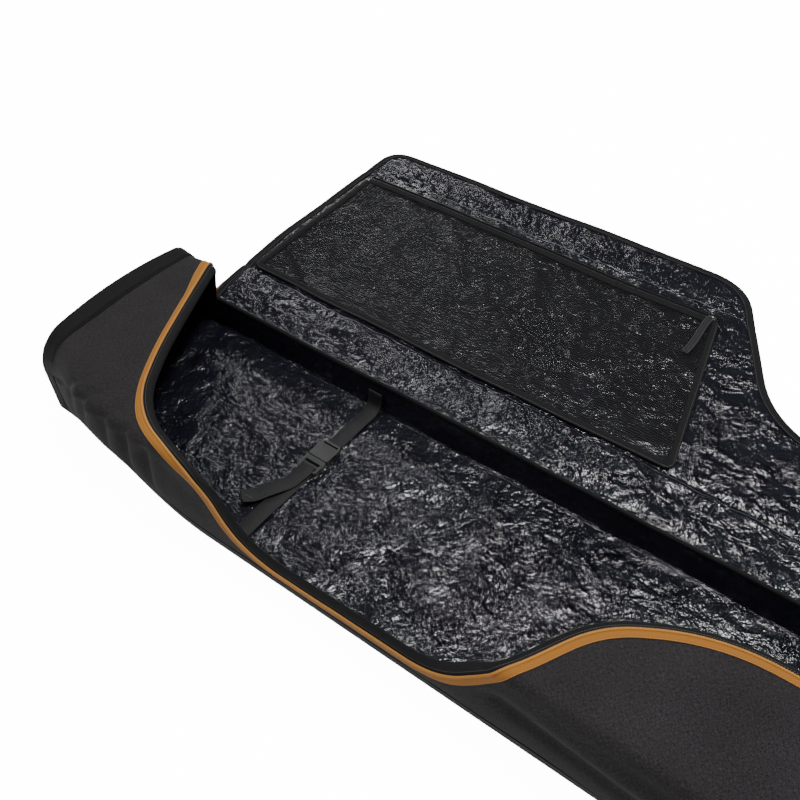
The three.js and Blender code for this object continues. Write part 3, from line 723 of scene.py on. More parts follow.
def lining_place(x, w, height):
    """The body's lining: hangs a little inside the outer cloth, crinkled, and lies flat on the floor."""
    crinkle = layers(creases, x, w, (1.6, 0.06, 21), (0.8, 0.024, 25)) + 1.5 * MM * noise(x, w, 0.1, 29)
    drawn_in = 5.5 * MM * (1 - 0.75 * at_hinge(x, w))
    points = body_place(x, w, height - drawn_in + crinkle * (1 - at_hinge(x, w)))
    clear_of_straps = smooth((np.abs(np.abs(x) - STRAP_X) - 20 * MM) / (30 * MM))
    ridges = layers(creases, x, w, (1.9, 0.06, 21), (0.9, 0.024, 25))
    floor = FLOOR + 0.1 * MM + (0.35 + 0.65 * clear_of_straps) * ridges
    below = floor - points[:, 2]
    points[:, 2] += (below + np.sqrt(below ** 2 + (3 * MM) ** 2)) / 2
    return points


# ---- The mouth: where the body is cut open -----------------------------------------------------------

def roof_w(y):
    """w of a place on the roof."""
    return W_ROOF + HALF_WIDTH - TOP_ROUND - y


def near_w(z):
    """w of a place on the near wall."""
    return W_NEAR + HEIGHT - TOP_ROUND - z


MOUTH = rounded_outline([
    (MOUTH_TAIL, HINGE_CUT, 0),
    (MOUTH_TAIL, roof_w(26 * MM), 60 * MM),
    (MOUTH_RISE + 165 * MM, roof_w(14 * MM), 70 * MM),
    (MOUTH_RISE + 55 * MM, roof_w(-52 * MM), 45 * MM),
    (MOUTH_RISE - 5 * MM, near_w(128 * MM), 50 * MM),
    (MOUTH_RISE - 78 * MM, near_w(58 * MM), 45 * MM),
    (MOUTH_CORNER + 140 * MM, near_w(50 * MM), 60 * MM),
    (MOUTH_CORNER + 68 * MM, near_w(122 * MM), 38 * MM),
    (MOUTH_CORNER - 88 * MM, roof_w(-128 * MM), 62 * MM),
    (MOUTH_NOSE + 96 * MM, roof_w(-32 * MM), 40 * MM),
    (MOUTH_NOSE + 9 * MM, roof_w(162 * MM), 9 * MM),
    (MOUTH_NOSE - 7 * MM, HINGE_CUT, 0),
])
MOUTH_LINE = resampled(MOUTH, 4 * MM)


def outside_mouth(margin):
    """Positive where cloth is left round the mouth. It reaches right up to the hinge cord."""
    hole = MOUTH.copy()
    hole[hole[:, 1] < HINGE_CUT + 1 * MM, 1] += margin
    return lambda x, w: -outline_distance(x, w, hole) - margin


def everywhere(x, w):
    """For a sheet that isn't cut to an outline."""
    return np.ones(len(x))


def stand_for(nodes):
    """Hides the CAD nodes that a piece stands for."""
    if nodes:
        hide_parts(*nodes)


def keep_piece(obj, body, nodes=()):
    """Lets a piece ride on one body."""
    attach(obj, body)
    stand_for(nodes)


def body_cloth():
    turn_up = 4 * MM
    ws = even_steps(BASE_ARC - turn_up, W_BASE - BASE_ARC + turn_up, GRID)
    cloth = sheet("body_cloth", even_steps(-END_X, END_X, GRID), ws, outside_mouth(3 * MM), body_place,
                  shell_cloth, CLOTH_THICKNESS, True)
    keep_piece(cloth, "shell", ("nose_hood", "near_wall", "tail_hood", "far_wall"))


def body_inside():
    lining = sheet("body_inner_lining", even_steps(-END_X + 4 * MM, END_X - 4 * MM, GRID),
                   even_steps(0, W_ALL, GRID), outside_mouth(3 * MM), lining_place, film)
    keep_piece(lining, "shell", ("body_lining", "floor_lining"))


def base_sheet():
    wrap = 11 * MM
    grid = even_steps(W_BASE - BASE_ARC - wrap, W_ALL + BASE_ARC + wrap, GRID)
    place = lambda x, w, height: body_place(x, w, height + 1.2 * MM)
    base = sheet("tarpaulin_base", even_steps(-END_X, END_X, GRID), grid, everywhere, place, tarpaulin,
                 1.2 * MM, True)
    keep_piece(base, "shell", ("base_panel",))


def end_parts(side):
    """One end: the bulged end wall and the black band round its edge."""
    end = "nose" if side < 0 else "tail"
    rim_w = np.linspace(0, W_ALL, 220, endpoint=False)
    rim = body_place(np.full(len(rim_w), side * END_X), rim_w, np.full(len(rim_w), -0.4 * MM))
    centre = rim.mean(0)
    rings = np.linspace(1, 0.04, 14)
    points = []
    for share in rings:
        ring = centre + (rim - centre) * share
        waves = 0.8 * MM * noise(ring[:, 1], ring[:, 2], 0.05, 31) * (1 - share)
        ring[:, 0] += side * (5 * MM * (1 - share ** 2) ** 0.8 + waves)
        points.append(ring)
    count = len(rim_w)
    last = (len(rings) - 1) * count
    faces = ring_faces(len(rings), count) + [list(range(last, last + count))]
    if side > 0:
        faces = [face[::-1] for face in faces]
    points = np.concatenate(points)
    wall = add_mesh(end + "_end_panel", points, faces, points[:, 1:], shell_cloth)
    thicken(wall, CLOTH_THICKNESS)
    keep_piece(wall, "shell", (end + "_end_wall",))

    xs = even_steps(END_X - SEAM_BAND, END_X, 2.8 * MM) * side
    lift = lambda x: 1.6 * MM * np.clip((np.abs(x) - END_X + SEAM_BAND) / (2 * MM), 0.2, 1)
    place = lambda x, w, height: body_place(x, w, height + lift(x))
    band = sheet(end + "_edge_band", np.sort(xs), even_steps(0, W_ALL, GRID),
                 everywhere, place, black_tape, 1.8 * MM, True)
    keep_piece(band, "shell", (end + "_end_band",))
    seam_x = side * (END_X - SEAM_BAND - 1.5 * MM)
    line = np.stack([np.full(300, seam_x), np.linspace(W_ROOF - WALL, W_BASE - BASE_ARC, 300)], 1)
    round_cord = ellipse(2.6 * MM, 2.4 * MM, 8, (0, 0.3 * MM))
    cord = edging(end + "_seam_cord", line, body_place, round_cord, black_tape)
    keep_piece(cord, "shell")


# ---- Edges of the mouth ------------------------------------------------------------------------------

def mouth_edges():
    """The zip's tape, coil and teeth round the mouth, the padded welt inside it, and their stitches."""
    on_hood = smooth((MOUTH_CORNER - 60 * MM - MOUTH_LINE[:, 0]) / (60 * MM))
    on_hood = on_hood * smooth((MOUTH_LINE[:, 1] - roof_w(130 * MM)) / (60 * MM))
    narrowing = 1 - 0.35 * on_hood
    tape = edging("mouth_zip_tape", MOUTH_LINE, body_place,
                  flat_band(10.5 * MM, 1.2 * MM, (7 * MM, 0.7 * MM)), mustard_tape, narrowing)
    keep_piece(tape, "shell", ("mouth_zip_tape",))
    coil = edging("mouth_zip_coil", MOUTH_LINE, body_place,
                  ellipse(3.2 * MM, 2.6 * MM, 8, (1.2 * MM, 1.0 * MM)), mustard_teeth)
    keep_piece(coil, "shell", ("mouth_zip_teeth",))
    welt_profile = [(4, -0.8), (0, -0.2), (-5, -0.9), (-9, -2.6), (-12, -6), (-12.2, -7.4), (-10.6, -7.2),
                    (-8, -4.8), (-4, -3.2), (4, -3.0)]
    welt = edging("mouth_welt", MOUTH_LINE, body_place, np.array(welt_profile) * MM, black_tape)
    keep_piece(welt, "shell", ("mouth_welt",))
    teeth = small_bars("mouth_zip_teeth_row", shifted(MOUTH_LINE, 1.4 * MM), body_place, 2.0 * MM, 2.9 * MM,
                       4.2 * MM, 1.6 * MM, 1.2 * MM, mustard_teeth, True)
    keep_piece(teeth, "shell")
    for name, offset, height, look, slot in (
            ("mouth_tape_stitches", 11.6 * MM, 1.35 * MM, tan_thread, "mustard_tape"),
            ("mouth_welt_stitches", -4 * MM, -0.6 * MM, grey_thread, "binding_tape")):
        row = stitches(name, shifted(MOUTH_LINE, offset * narrowing), body_place, height, look)
        keep_piece(row, "shell")


def shifted(line, offset):
    """A flat line moved to its right."""
    return line + line_normals(line) * np.broadcast_to(offset, len(line))[:, None]


def small_bars(name, line, place, height, pitch, length, width, rise, material, crosswise=False):
    """A row of small rounded bars on a cloth surface, along the line or across it."""
    spots = resampled(line, pitch)
    normals = line_normals(spots)
    along = np.stack([-normals[:, 1], normals[:, 0]], 1)
    if crosswise:
        along, normals = normals, along
    shape = np.array([(-1, 0, 0), (-0.6, -1, 0), (0.6, -1, 0), (1, 0, 0), (0.6, 1, 0), (-0.6, 1, 0),
                      (-0.5, 0, 1), (0.5, 0, 1)])
    bar_faces = np.array([(0, 1, 6), (6, 1, 2), (6, 2, 7), (7, 2, 3),
                          (7, 3, 4), (7, 4, 5), (7, 5, 6), (6, 5, 0)])
    flat = (spots[:, None] + along[:, None] * shape[None, :, :1] * length / 2
            + normals[:, None] * shape[None, :, 1:2] * width / 2)
    heights = np.broadcast_to(height + shape[None, :, 2] * rise, flat.shape[:2])
    points = place(flat[..., 0].ravel(), flat[..., 1].ravel(), heights.ravel())
    faces = (bar_faces[None] + len(shape) * np.arange(len(spots))[:, None, None]).reshape(-1, 3)
    return add_mesh(name, points, faces.tolist(), flat.reshape(-1, 2), material, True)


def stitches(name, line, place, height, material):
    return small_bars(name, line, place, height, 3.4 * MM, 2.6 * MM, 0.8 * MM, 0.4 * MM, material)


def hinge_cord():
    """Black piping along the hinge seam, between the far wall and the lid."""
    low, high = box("hinge_piping")
    xs = even_steps(low[0] - 9 * MM, high[0], 6 * MM)
    wander = 0.8 * MM * noise(xs, xs * 0, 0.12, 41)
    centres = np.stack([xs, HINGE[1] + wander, HINGE[2] + 0.7 * MM * noise(xs, xs * 0, 0.09, 42)], 1)
    cord = sweep("hinge_cord", centres, UP, ellipse(6.8 * MM, 6.4 * MM), black_tape)
    keep_piece(cord, "shell", ("hinge_piping",))


# ---- The lid's surface -------------------------------------------------------------------------------

LID = rounded_outline([
    (LID_TAIL, -30 * MM, 0),
    (LID_TAIL, NARROW_DEPTH, 50 * MM),
    (WIDE_TAIL + 155 * MM, NARROW_DEPTH, 110 * MM),
    (WIDE_TAIL, LID_DEPTH, 60 * MM),
    (WIDE_NOSE, LID_DEPTH, 45 * MM),
    (WIDE_NOSE, SPINE + 60 * MM, 50 * MM),
    (LID_NOSE - 16 * MM, SPINE - 20 * MM, 20 * MM),
    (LID_NOSE - 7 * MM, 0, 0),
    (LID_NOSE - 7 * MM, -30 * MM, 0),
])
SPINE_SPLIT = SPINE / 2
FRONT_SPLIT = SPINE + TOP / 2


def lid_relief(x, u):
    """Soft waves of the padded lid, and the stitched valleys where it folds."""
    free = smooth(u / (45 * MM))
    waves = layers(noise, x, u, (4.5, 0.26, 51), (1.8, 0.09, 52))
    valley = bell(u - SPINE, 6 * MM) + 0.6 * bell(u - SPINE - TOP, 9 * MM)
    return free * waves - 2.2 * MM * valley


def lid_place(x, u, height):
    """The point of the lid at (x, u), raised towards the lining side by height."""
    ends = [0, SPINE, SPINE + TOP, LID_DEPTH + 0.05]
    last = LID_DEPTH + 0.05 - SPINE - TOP
    end_y = FRONT_FOLD[1] + last * math.cos(3 * RISE)
    end_z = FRONT_FOLD[2] + last * math.sin(3 * RISE)
    u_in = np.clip(u, -0.03, None)
    y = np.interp(u_in, ends, [HINGE[1], TOP_FOLD[1], FRONT_FOLD[1], end_y]) + np.minimum(u_in, 0)
    z = np.interp(u_in, ends, [HINGE[2], TOP_FOLD[2], FRONT_FOLD[2], end_z])
    slope = -np.interp(u_in, [0, SPINE, SPINE + TOP], [RISE, 1.5 * RISE, 2.5 * RISE])
    raised = height + lid_relief(x, u)
    return np.stack([x, y + raised * np.sin(slope), z + raised * np.cos(slope)], 1)


def film_place(x, u, height):
    """The lid's lining film, crumpled and puffed between its seams."""
    rim = smooth(outline_distance(x, u, LID) / (30 * MM)) * smooth(u / (20 * MM))
    crumple = layers(creases, x, u, (3.4, 0.075, 61), (2.0, 0.03, 64), (0.9, 0.013, 67))
    gathers = 1.6 * MM * np.sin(x / (8.5 * MM) + 3 * noise(x, u, 0.05, 70))
    gathers = gathers * bell(u - SPINE + 12 * MM, 22 * MM)
    quiet = bell(u - SPINE, 4 * MM)
    return lid_place(x, u, height + (crumple + gathers - 1.2 * MM) * rim * (1 - quiet))


def cover_place(x, u, height):
    """The lid's outer cover, which hangs a little below the lid's middle surface."""
    puff = smooth(outline_distance(x, u, LID) / (45 * MM)) * smooth(u / (30 * MM))
    sag = 3.0 * MM * puff + 1.2 * MM * noise(x, u, 0.06, 71) * puff
    return lid_place(x, u, height - sag)


LID_STRETCHES = (
    ("spine", 0.0, SPINE_SPLIT, ("shell", "lid_spine"), HINGE),
    ("top", SPINE_SPLIT, FRONT_SPLIT, ("lid_spine", "lid_top"), TOP_FOLD),
    ("front", FRONT_SPLIT, LID_DEPTH, ("lid_top", "lid_front"), FRONT_FOLD),
)


def bend_piece(obj, bodies, fold, slot, nodes=()):
    """Bakes a lid piece's placement into its mesh and hides the CAD nodes that it stands for."""
    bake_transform(obj)
    stand_for(nodes)


def lid_sheets():
    xs = even_steps(WIDE_NOSE, LID_TAIL, GRID * 0.8)
    inside = lambda x, u: outline_distance(x, u, LID) - 4 * MM
    for part, low, high, bodies, fold in LID_STRETCHES:
        us = even_steps(low, high, GRID * 0.8)
        cover = sheet(part + "_cover", xs, us, inside, lambda x, u, h: cover_place(x, u, h - 3 * MM),
                      shell_cloth, 1.2 * MM, True)
        nodes = ["lid_" + part + "_cover"] + (["lid_top_padding"] if part == "top" else [])
        bend_piece(cover, bodies, fold, "shell_fabric", nodes)
        lining = sheet(part + "_film_lining", xs, us, inside,
                       lambda x, u, h: film_place(x, u, h + 1.5 * MM), film)
        bend_piece(lining, bodies, fold, "lining_film", ("lid_" + part + "_lining",))


def lid_runs(line, low, high):
    """The stretches of a line whose u lies between low and high, each meeting its neighbours exactly."""
    inside = (line[:, 1] >= low) & (line[:, 1] <= high)
    starts = np.flatnonzero(inside & ~np.roll(inside, 1))
    runs = []
    for start in starts:
        stop = start
        while stop + 1 < len(line) and inside[stop + 1]:
            stop += 1
        run = line[start:stop + 1]
        for place, beyond in ((0, start - 1), (len(run), stop + 1)):
            if 0 <= beyond < len(line):
                edge = low if line[beyond, 1] < low else high
                a, b = (run[0], line[beyond]) if place == 0 else (run[-1], line[beyond])
                cut = a + (b - a) * (edge - a[1]) / (b[1] - a[1])
                run = np.vstack([cut, run]) if place == 0 else np.vstack([run, cut])
        if len(run) > 2:
            runs.append(run)
    return runs


def lid_edges():
    """The binding wrapped round the lid's edge, the zip tape and coil under it, and its stitches."""
    line = resampled(LID, 4 * MM)
    line = line[line[:, 1] > -20 * MM]
    wrap = [(0.6, -2.6), (0.9, 0), (0.6, 2.4), (-2.5, 3.9), (-8, 4.2), (-12.4, 3.2), (-13, 2.2), (-8, 1.4),
            (-8, -2.2), (-13, -3.0), (-12.4, -4.2), (-8, -5.0), (-2.5, -4.4)]
    wrap = np.array(wrap) * MM
    for part, low, high, bodies, fold in LID_STRETCHES:
        ends = (1 * MM if part == "spine" else low, high + (0.02 if part == "front" else 0))
        edges = {"spine": ("binding_nose", "binding_tail"),
                 "top": ("binding_nose", "binding_tail", "zip_tape_nose", "zip_tape_tail"),
                 "front": ("binding", "zip_tape")}[part]
        nodes = ["lid_%s_%s" % (part, edge) for edge in edges]
        for number, run in enumerate(lid_runs(line, *ends)):
            tag = part + "_%d" % (number + 1)
            binding = edging("binding_" + tag, run, lid_place, wrap, black_tape)
            bend_piece(binding, bodies, fold, "binding_tape", nodes)
            show = 1.4 * MM + 9 * MM * (1 - smooth(run[:, 1] / (85 * MM))) * (run[:, 0] < 0)
            tape = edging("lid_zip_tape_" + tag, shifted(run, show), lid_place,
                          flat_band(11 * MM, 1.2 * MM, (-5.5 * MM, -6.0 * MM)), mustard_tape)
            bend_piece(tape, bodies, fold, "mustard_tape")
            coil = edging("lid_zip_coil_" + tag, shifted(run, show), lid_place,
                          ellipse(2.8 * MM, 2.4 * MM, 8, (0.8 * MM, -6.2 * MM)), mustard_teeth)
            bend_piece(coil, bodies, fold, "mustard_tape")
            row = stitches("binding_stitches_" + tag, shifted(run, -10.8 * MM), lid_place, 4.0 * MM,
                           grey_thread)
            bend_piece(row, bodies, fold, "binding_tape")


def fold_seams():
    """Stitching along the lid's lengthwise seams, and the stitched boxes that hold the handle."""
    over_top, over_front = LID_STRETCHES[1][3:], LID_STRETCHES[2][3:]
    for name, u, bend in (("spine_seam", SPINE - 6 * MM, over_top),
                          ("front_seam", SPINE + TOP + 9 * MM, over_front)):
        line = np.stack([even_steps(LID_NOSE + 20 * MM, LID_TAIL - 20 * MM, 4 * MM)] * 2, 1)
        line[:, 1] = u
        inside = outline_distance(line[:, 0], line[:, 1], LID) > 16 * MM
        row = stitches(name + "_stitches", line[inside], film_place, 2.4 * MM, grey_thread)
        bend_piece(row, *bend, "lining_film")
    patch_low, patch_high = box("handle_patch_nose")
    handle_x = (patch_low[0] + patch_high[0]) / 2
    middle = 67 * MM
    half = 13 * MM
    outermost = 406 * MM
    for number, x in enumerate((-outermost, handle_x - 20 * MM, 3 * MM, -handle_x, outermost)):
        corners = [(x - half, middle - half), (x + half, middle - half), (x + half, middle + half),
                   (x - half, middle + half), (x - half, middle - half), (x + half, middle + half)]
        line = resampled(np.array(corners), 1 * MM)
        row = stitches("stitch_box_%d" % (number + 1), line, film_place, 2.4 * MM, black_thread)
        bend_piece(row, *over_top, "lining_film")


# ---- The mesh pocket on the lid ----------------------------------------------------------------------

POCKET_LOW, POCKET_HIGH = box("mesh_pocket")
ZIP_LOW, ZIP_HIGH = box("pocket_zip")
TAB_LOW, TAB_HIGH = box("pocket_pull_tab")
POCKET_TOP = SPINE + 314 * MM
ZIP_U = POCKET_TOP + 8 * MM
POCKET = rounded_outline([
    (POCKET_HIGH[0], SPINE + 8 * MM, 8 * MM),
    (ZIP_HIGH[0], POCKET_TOP, 4 * MM),
    (ZIP_LOW[0], POCKET_TOP, 4 * MM),
    (POCKET_LOW[0], SPINE + 8 * MM, 8 * MM),
])


def net_place(x, u, height):
    """The mesh: slack in the middle, held down along its edges, with a few soft drag lines."""
    free = smooth(outline_distance(x, u, POCKET) / (60 * MM))
    drag = np.sin((x + 0.6 * u) / (26 * MM) + 2.5 * noise(x, u, 0.12, 81))
    slack = 4.0 * MM + 1.6 * MM * drag + 2.0 * MM * noise(x, u, 0.09, 82)
    return lid_place(x, u, height + 5.6 * MM + free * slack)


def pocket():
    """The net with its rim tape and stitches, and the zip along its top."""
    net_sheet = sheet("pocket_net", even_steps(POCKET_LOW[0], POCKET_HIGH[0], GRID),
                      even_steps(SPINE, POCKET_TOP + 2 * MM, GRID),
                      lambda x, u: outline_distance(x, u, POCKET), net_place, net)
    keep_piece(net_sheet, "lid_top", ("mesh_pocket",))
    rim = resampled(POCKET, 4 * MM, True)
    rim = np.roll(rim, -int(np.argmin(rim[:, 0] - rim[:, 1])) - 1, axis=0)
    rim_band = flat_band(11 * MM, 1.3 * MM, (0, 5.6 * MM))
    border = edging("pocket_rim_tape", rim, lid_place, rim_band, black_tape)
    keep_piece(border, "lid_top", ("pocket_rim_tape",))
    row = stitches("pocket_rim_stitches", shifted(rim, 3 * MM), lid_place, 6.2 * MM, grey_thread)
    keep_piece(row, "lid_top")

    line = np.stack([even_steps(ZIP_LOW[0], ZIP_HIGH[0], 5 * MM)] * 2, 1)
    line[:, 1] = ZIP_U
    zip_band = flat_band(17 * MM, 1.4 * MM, (0, 4.2 * MM))
    tape = edging("pocket_zip_tapes", line, lid_place, zip_band, black_tape)
    keep_piece(tape, "lid_top", ("pocket_zip",))
    for side in (-1, 1):
        piping = edging("pocket_zip_fold_%s" % ("low" if side < 0 else "high"), line, lid_place,
                        ellipse(4.6 * MM, 3.0 * MM, 10, (side * 4.6 * MM, 5.2 * MM)), black_tape)
        keep_piece(piping, "lid_top")
    teeth = small_bars("pocket_zip_coil", line, lid_place, 4.8 * MM, 1.9 * MM, 3.4 * MM, 1.1 * MM,
                       1.0 * MM, black_teeth, True)
    keep_piece(teeth, "lid_top")


def pocket_pull():
    """The pocket's slider and its long flat cloth pull."""
    body_low, body_high = box("pocket_slider")
    to_zip_end = np.array([12 * MM, 0, 0])
    body_low, body_high = body_low + to_zip_end, body_high + to_zip_end
    slider_body("pocket_slider_body", body_low, body_high, "x", "pocket_slider", "pocket_slider")
    x = (TAB_LOW[0] + TAB_HIGH[0]) / 2 + to_zip_end[0]
    us = even_steps(TAB_LOW[1] - TOP_FOLD[1] + SPINE - 32 * MM, ZIP_U - 4 * MM, 2 * MM)
    lift = 8.6 * MM + 2.5 * MM * np.sin((us - us[0]) / (us[-1] - us[0]) * math.pi)
    centres = lid_place(x + 1.5 * MM * np.sin(us * 60), us, 0 * us) + np.stack([0 * us, 0 * us, lift], 1)
    tab = sweep("pocket_pull_ribbon", centres, UP, flat_band(12 * MM, 1.7 * MM), webbing)
    keep_piece(tab, "pocket_pull_tab", ("pocket_pull_tab",))
    for number, shift in ((1, -4.6 * MM), (2, 4.6 * MM)):
        strand = sweep("pocket_pull_stitches_%d" % number, centres[1:-1] + [shift, 0, 0.9 * MM], UP,
                       ellipse(0.7 * MM, 0.6 * MM, 6), grey_thread)
        keep_piece(strand, "pocket_pull_tab")


# ---- Zip sliders -------------------------------------------------------------------------------------

def slab(name, outline, low, high, axis, material, bevel=0.5 * MM):
    """A flat plate with this outline, thick from low to high along one axis (0, 1 or 2)."""
    outline = np.array(outline)
    others = [k for k in range(3) if k != axis]
    points = np.zeros((2, len(outline), 3))
    points[:, :, others[0]] = outline[:, 0]
    points[:, :, others[1]] = outline[:, 1]
    points[0, :, axis], points[1, :, axis] = low, high
    points = points.reshape(-1, 3)
    obj = add_mesh(name, points, tube_faces(2, len(outline)), points[:, others], material, True)
    soften(obj, "rounding", bevel, 2)
    for face in obj.data.polygons:
        face.use_smooth = False
    return obj


def soften(obj, name, width, segments):
    """Rounds an object's sharp edges."""
    rounded = obj.modifiers.new(name, "BEVEL")
    rounded.width = width
    rounded.segments = segments
    rounded.limit_method = "ANGLE"


def slider_body(name, low, high, along, body, node):
    """A zip slider: two shaped plates joined at the nose, with a raised bridge for the pull."""
    size = high - low
    length_axis, depth_axis = (0, 2) if along == "x" else (2, 1)
    width_axis = 3 - length_axis - depth_axis
    centre = (low + high) / 2
    half_length, half_width = size[length_axis] / 2, size[width_axis] / 2

    def placed(outline):
        """The outline moved onto the slider's middle, its coordinates in the order of the axes."""
        outline = outline + np.array([centre[length_axis], centre[width_axis]])
        return outline[:, ::-1] if width_axis < length_axis else outline

    # Half of the plate, from its narrow end to its nose: length, width and corner, as shares.
    half_plate = [(-1, 0.55, 0.35), (0.5, 1, 0.5), (1, 0.5, 0.3)]
    corners = [(half_length * along, -half_width * wide, half_width * corner)
               for along, wide, corner in half_plate]
    corners += [(x, -y, corner) for x, y, corner in corners[::-1]]
    plate_outline = placed(rounded_outline(corners, 5))
    depth = size[depth_axis]
    bottom, top = low[depth_axis], high[depth_axis]
    for level, start, stop in (("_back", bottom, bottom + depth * 0.3), ("_front", top - depth * 0.3, top)):
        plate = slab(name + level, plate_outline, start, stop, depth_axis, metal, 0.35 * MM)
        keep_piece(plate, body, (node,))
    post_shares = np.array([(-0.3, -0.18), (0.7, -0.18), (0.7, 0.18), (-0.3, 0.18)])
    post_outline = placed(post_shares * (half_length, half_width))
    post = slab(name + "_post", post_outline, bottom + depth * 0.2, top - depth * 0.2, depth_axis, metal,
                0.2 * MM)
    keep_piece(post, body)
    turn = np.linspace(0, math.pi, 14)
    arch = np.tile(centre, (len(turn), 1))
    arch[:, length_axis] += np.cos(turn) * half_length * 0.62
    arch[:, depth_axis] = high[depth_axis] - 0.4 * MM + np.sin(turn) * 2.2 * MM
    side = np.zeros(3)
    side[width_axis] = 1
    bridge = sweep(name + "_bridge", arch, side, ellipse(1.3 * MM, 2.2 * MM, 10), metal)
    keep_piece(bridge, body)


def main_slider(end):
    """A slider of the bag's own zip, with a wire loop and a ridged metal grip hanging from it."""
    body_low, body_high = box(end + "_slider")
    slider_body(end + "_slider_body", body_low, body_high, "z", end + "_slider", end + "_slider")
    low, high = box(end + "_slider_pull")
    centre_x = (low[0] + high[0]) / 2
    half = (high[0] - low[0]) / 2
    loop_z = high[2] - half
    turn = np.linspace(0, 2 * math.pi, 28, endpoint=False)
    ring = np.stack([centre_x + np.cos(turn) * half * 0.75, np.full(28, high[1] - 0.2 * MM),
                     loop_z + np.sin(turn) * half * 1.3], 1)
    ring = np.vstack([ring, ring[:1]])
    loop = sweep(end + "_pull_loop", ring, ALONG_Y, ellipse(1.4 * MM, 1.4 * MM, 8), metal)
    keep_piece(loop, end + "_slider_pull", (end + "_slider_pull",))
    grip = rounded_outline([
        (centre_x - half * 0.7, loop_z - half * 1.1, half * 0.5), (centre_x - half, low[2], half * 0.9),
        (centre_x + half, low[2], half * 0.9), (centre_x + half * 0.7, loop_z - half * 1.1, half * 0.5)], 6)
    plate = slab(end + "_pull_grip", grip, low[1], high[1], 1, metal, 0.4 * MM)
    keep_piece(plate, end + "_slider_pull")
    ridge_line = np.array([[centre_x - half * 0.5, high[1], 0], [centre_x + half * 0.5, high[1], 0]])
    for number, z in enumerate(np.linspace(low[2] + 4 * MM, low[2] + 14 * MM, 5)):
        ridge = sweep(end + "_pull_ridge_%d" % (number + 1), resampled(ridge_line + [0, 0, z], half / 3),
                      UP, ellipse(1.0 * MM, 0.9 * MM, 8), metal)
        keep_piece(ridge, end + "_slider_pull")


# ---- Straps, handles and buckles ---------------------------------------------------------------------

def ribbon(name, path, width, thickness, body, nodes, seed):
    """A flat webbing ribbon along a path of corner points, its bends rounded, slightly uneven."""
    line = resampled(path, 4 * MM)
    for _ in range(3):
        line[1:-1] = (line[:-2] + 2 * line[1:-1] + line[2:]) / 4
    along = np.arange(len(line)) * 4 * MM
    line[:, 2] += 0.6 * MM * noise(along, along * 0, 0.03, 90 + seed)
    strip = sweep(name, line, UP, flat_band(width, thickness, (0, 0), 0.45), webbing)
    keep_piece(strip, body, nodes)
    return line


def bar_tack(name, centre, across, along, up, width, body):
    """A short zigzag of thick stitching across a ribbon."""
    turns = 18
    steps = np.linspace(-0.5, 0.5, turns)
    zigzag = np.where(np.arange(turns) % 2 == 0, -1.2 * MM, 1.2 * MM)
    line = centre + across * (steps * width)[:, None] + along * zigzag[:, None]
    tack = sweep(name, line, up, ellipse(0.9 * MM, 0.7 * MM, 6), grey_thread)
    keep_piece(tack, body)


def tie_down(end):
    """One tie-down strap: near and far webbing, the loose tail, and their bar tacks."""
    low, high = box(end + "_strap_near")
    far_high = box(end + "_strap_far")[1]
    x = (low[0] + high[0]) / 2
    width = high[0] - low[0]
    bed = low[2] + 1.8 * MM
    seed = 0 if end == "nose" else 5
    near = [[x, low[1] - 1 * MM, high[2]], [x, low[1] + 1 * MM, bed + 9 * MM], [x, low[1] + 12 * MM, bed],
            [x, 2 * low[1] / 3, bed + 2 * MM], [x, low[1] / 3, bed + 0.5 * MM], [x, -12 * MM, bed + 1 * MM],
            [x, 8 * MM, bed + 4 * MM]]
    ribbon(end + "_near_webbing", np.array(near), width, 1.7 * MM, "shell", (end + "_strap_near",), seed)
    far = [[x, 50 * MM, bed + 4 * MM], [x, 66 * MM, bed + 1 * MM], [x, 0.7 * far_high[1], bed + 2 * MM],
           [x, far_high[1] - 12 * MM, bed], [x, far_high[1] - 1 * MM, bed + 9 * MM],
           [x, far_high[1] + 1 * MM, far_high[2]]]
    ribbon(end + "_far_webbing", np.array(far), width, 1.7 * MM, "shell", (end + "_strap_far",), seed + 1)
    tip = box(end + "_strap_loose_end")[0][1] + 20 * MM
    top = bed + 3.4 * MM
    loose = [[x, 6 * MM, top + 6 * MM], [x, -6 * MM, top + 3 * MM], [x - 4 * MM, tip * 0.35, top],
             [x - 14 * MM, tip * 0.6, top + 4 * MM], [x - 28 * MM, tip * 0.85, top + 1 * MM],
             [x - 38 * MM, tip, top + 7 * MM]]
    line = ribbon(end + "_loose_webbing", np.array(loose), width - 1 * MM, 1.6 * MM, "shell",
                  (end + "_strap_loose_end",), seed + 2)
    across_strap = (ALONG_X, ALONG_Y, UP, width * 0.8, "shell")
    bar_tack(end + "_loose_end_tack", line[-3] + [0, 0, 1 * MM], *across_strap)
    for side, y, inwards in (("near", low[1] + 16 * MM, 1), ("far", far_high[1] - 16 * MM, -1)):
        for step in range(2):
            centre = np.array([x, y + step * 9 * MM * inwards, bed + 1.1 * MM])
            bar_tack("%s_%s_tack_%d" % (end, side, step + 1), centre, *across_strap)


def buckle(end):
    """The buckle keeps its CAD shape, with moulded edges and a satin finish."""
    for part in ("buckle_female", "buckle_male", "buckle_latch_left", "buckle_latch_right"):
        node = frame["nodes"][end + "_" + part]
        node.data.materials.clear()
        node.data.materials.append(nylon)
        soften(node, "moulded edges", 0.7 * MM, 3)


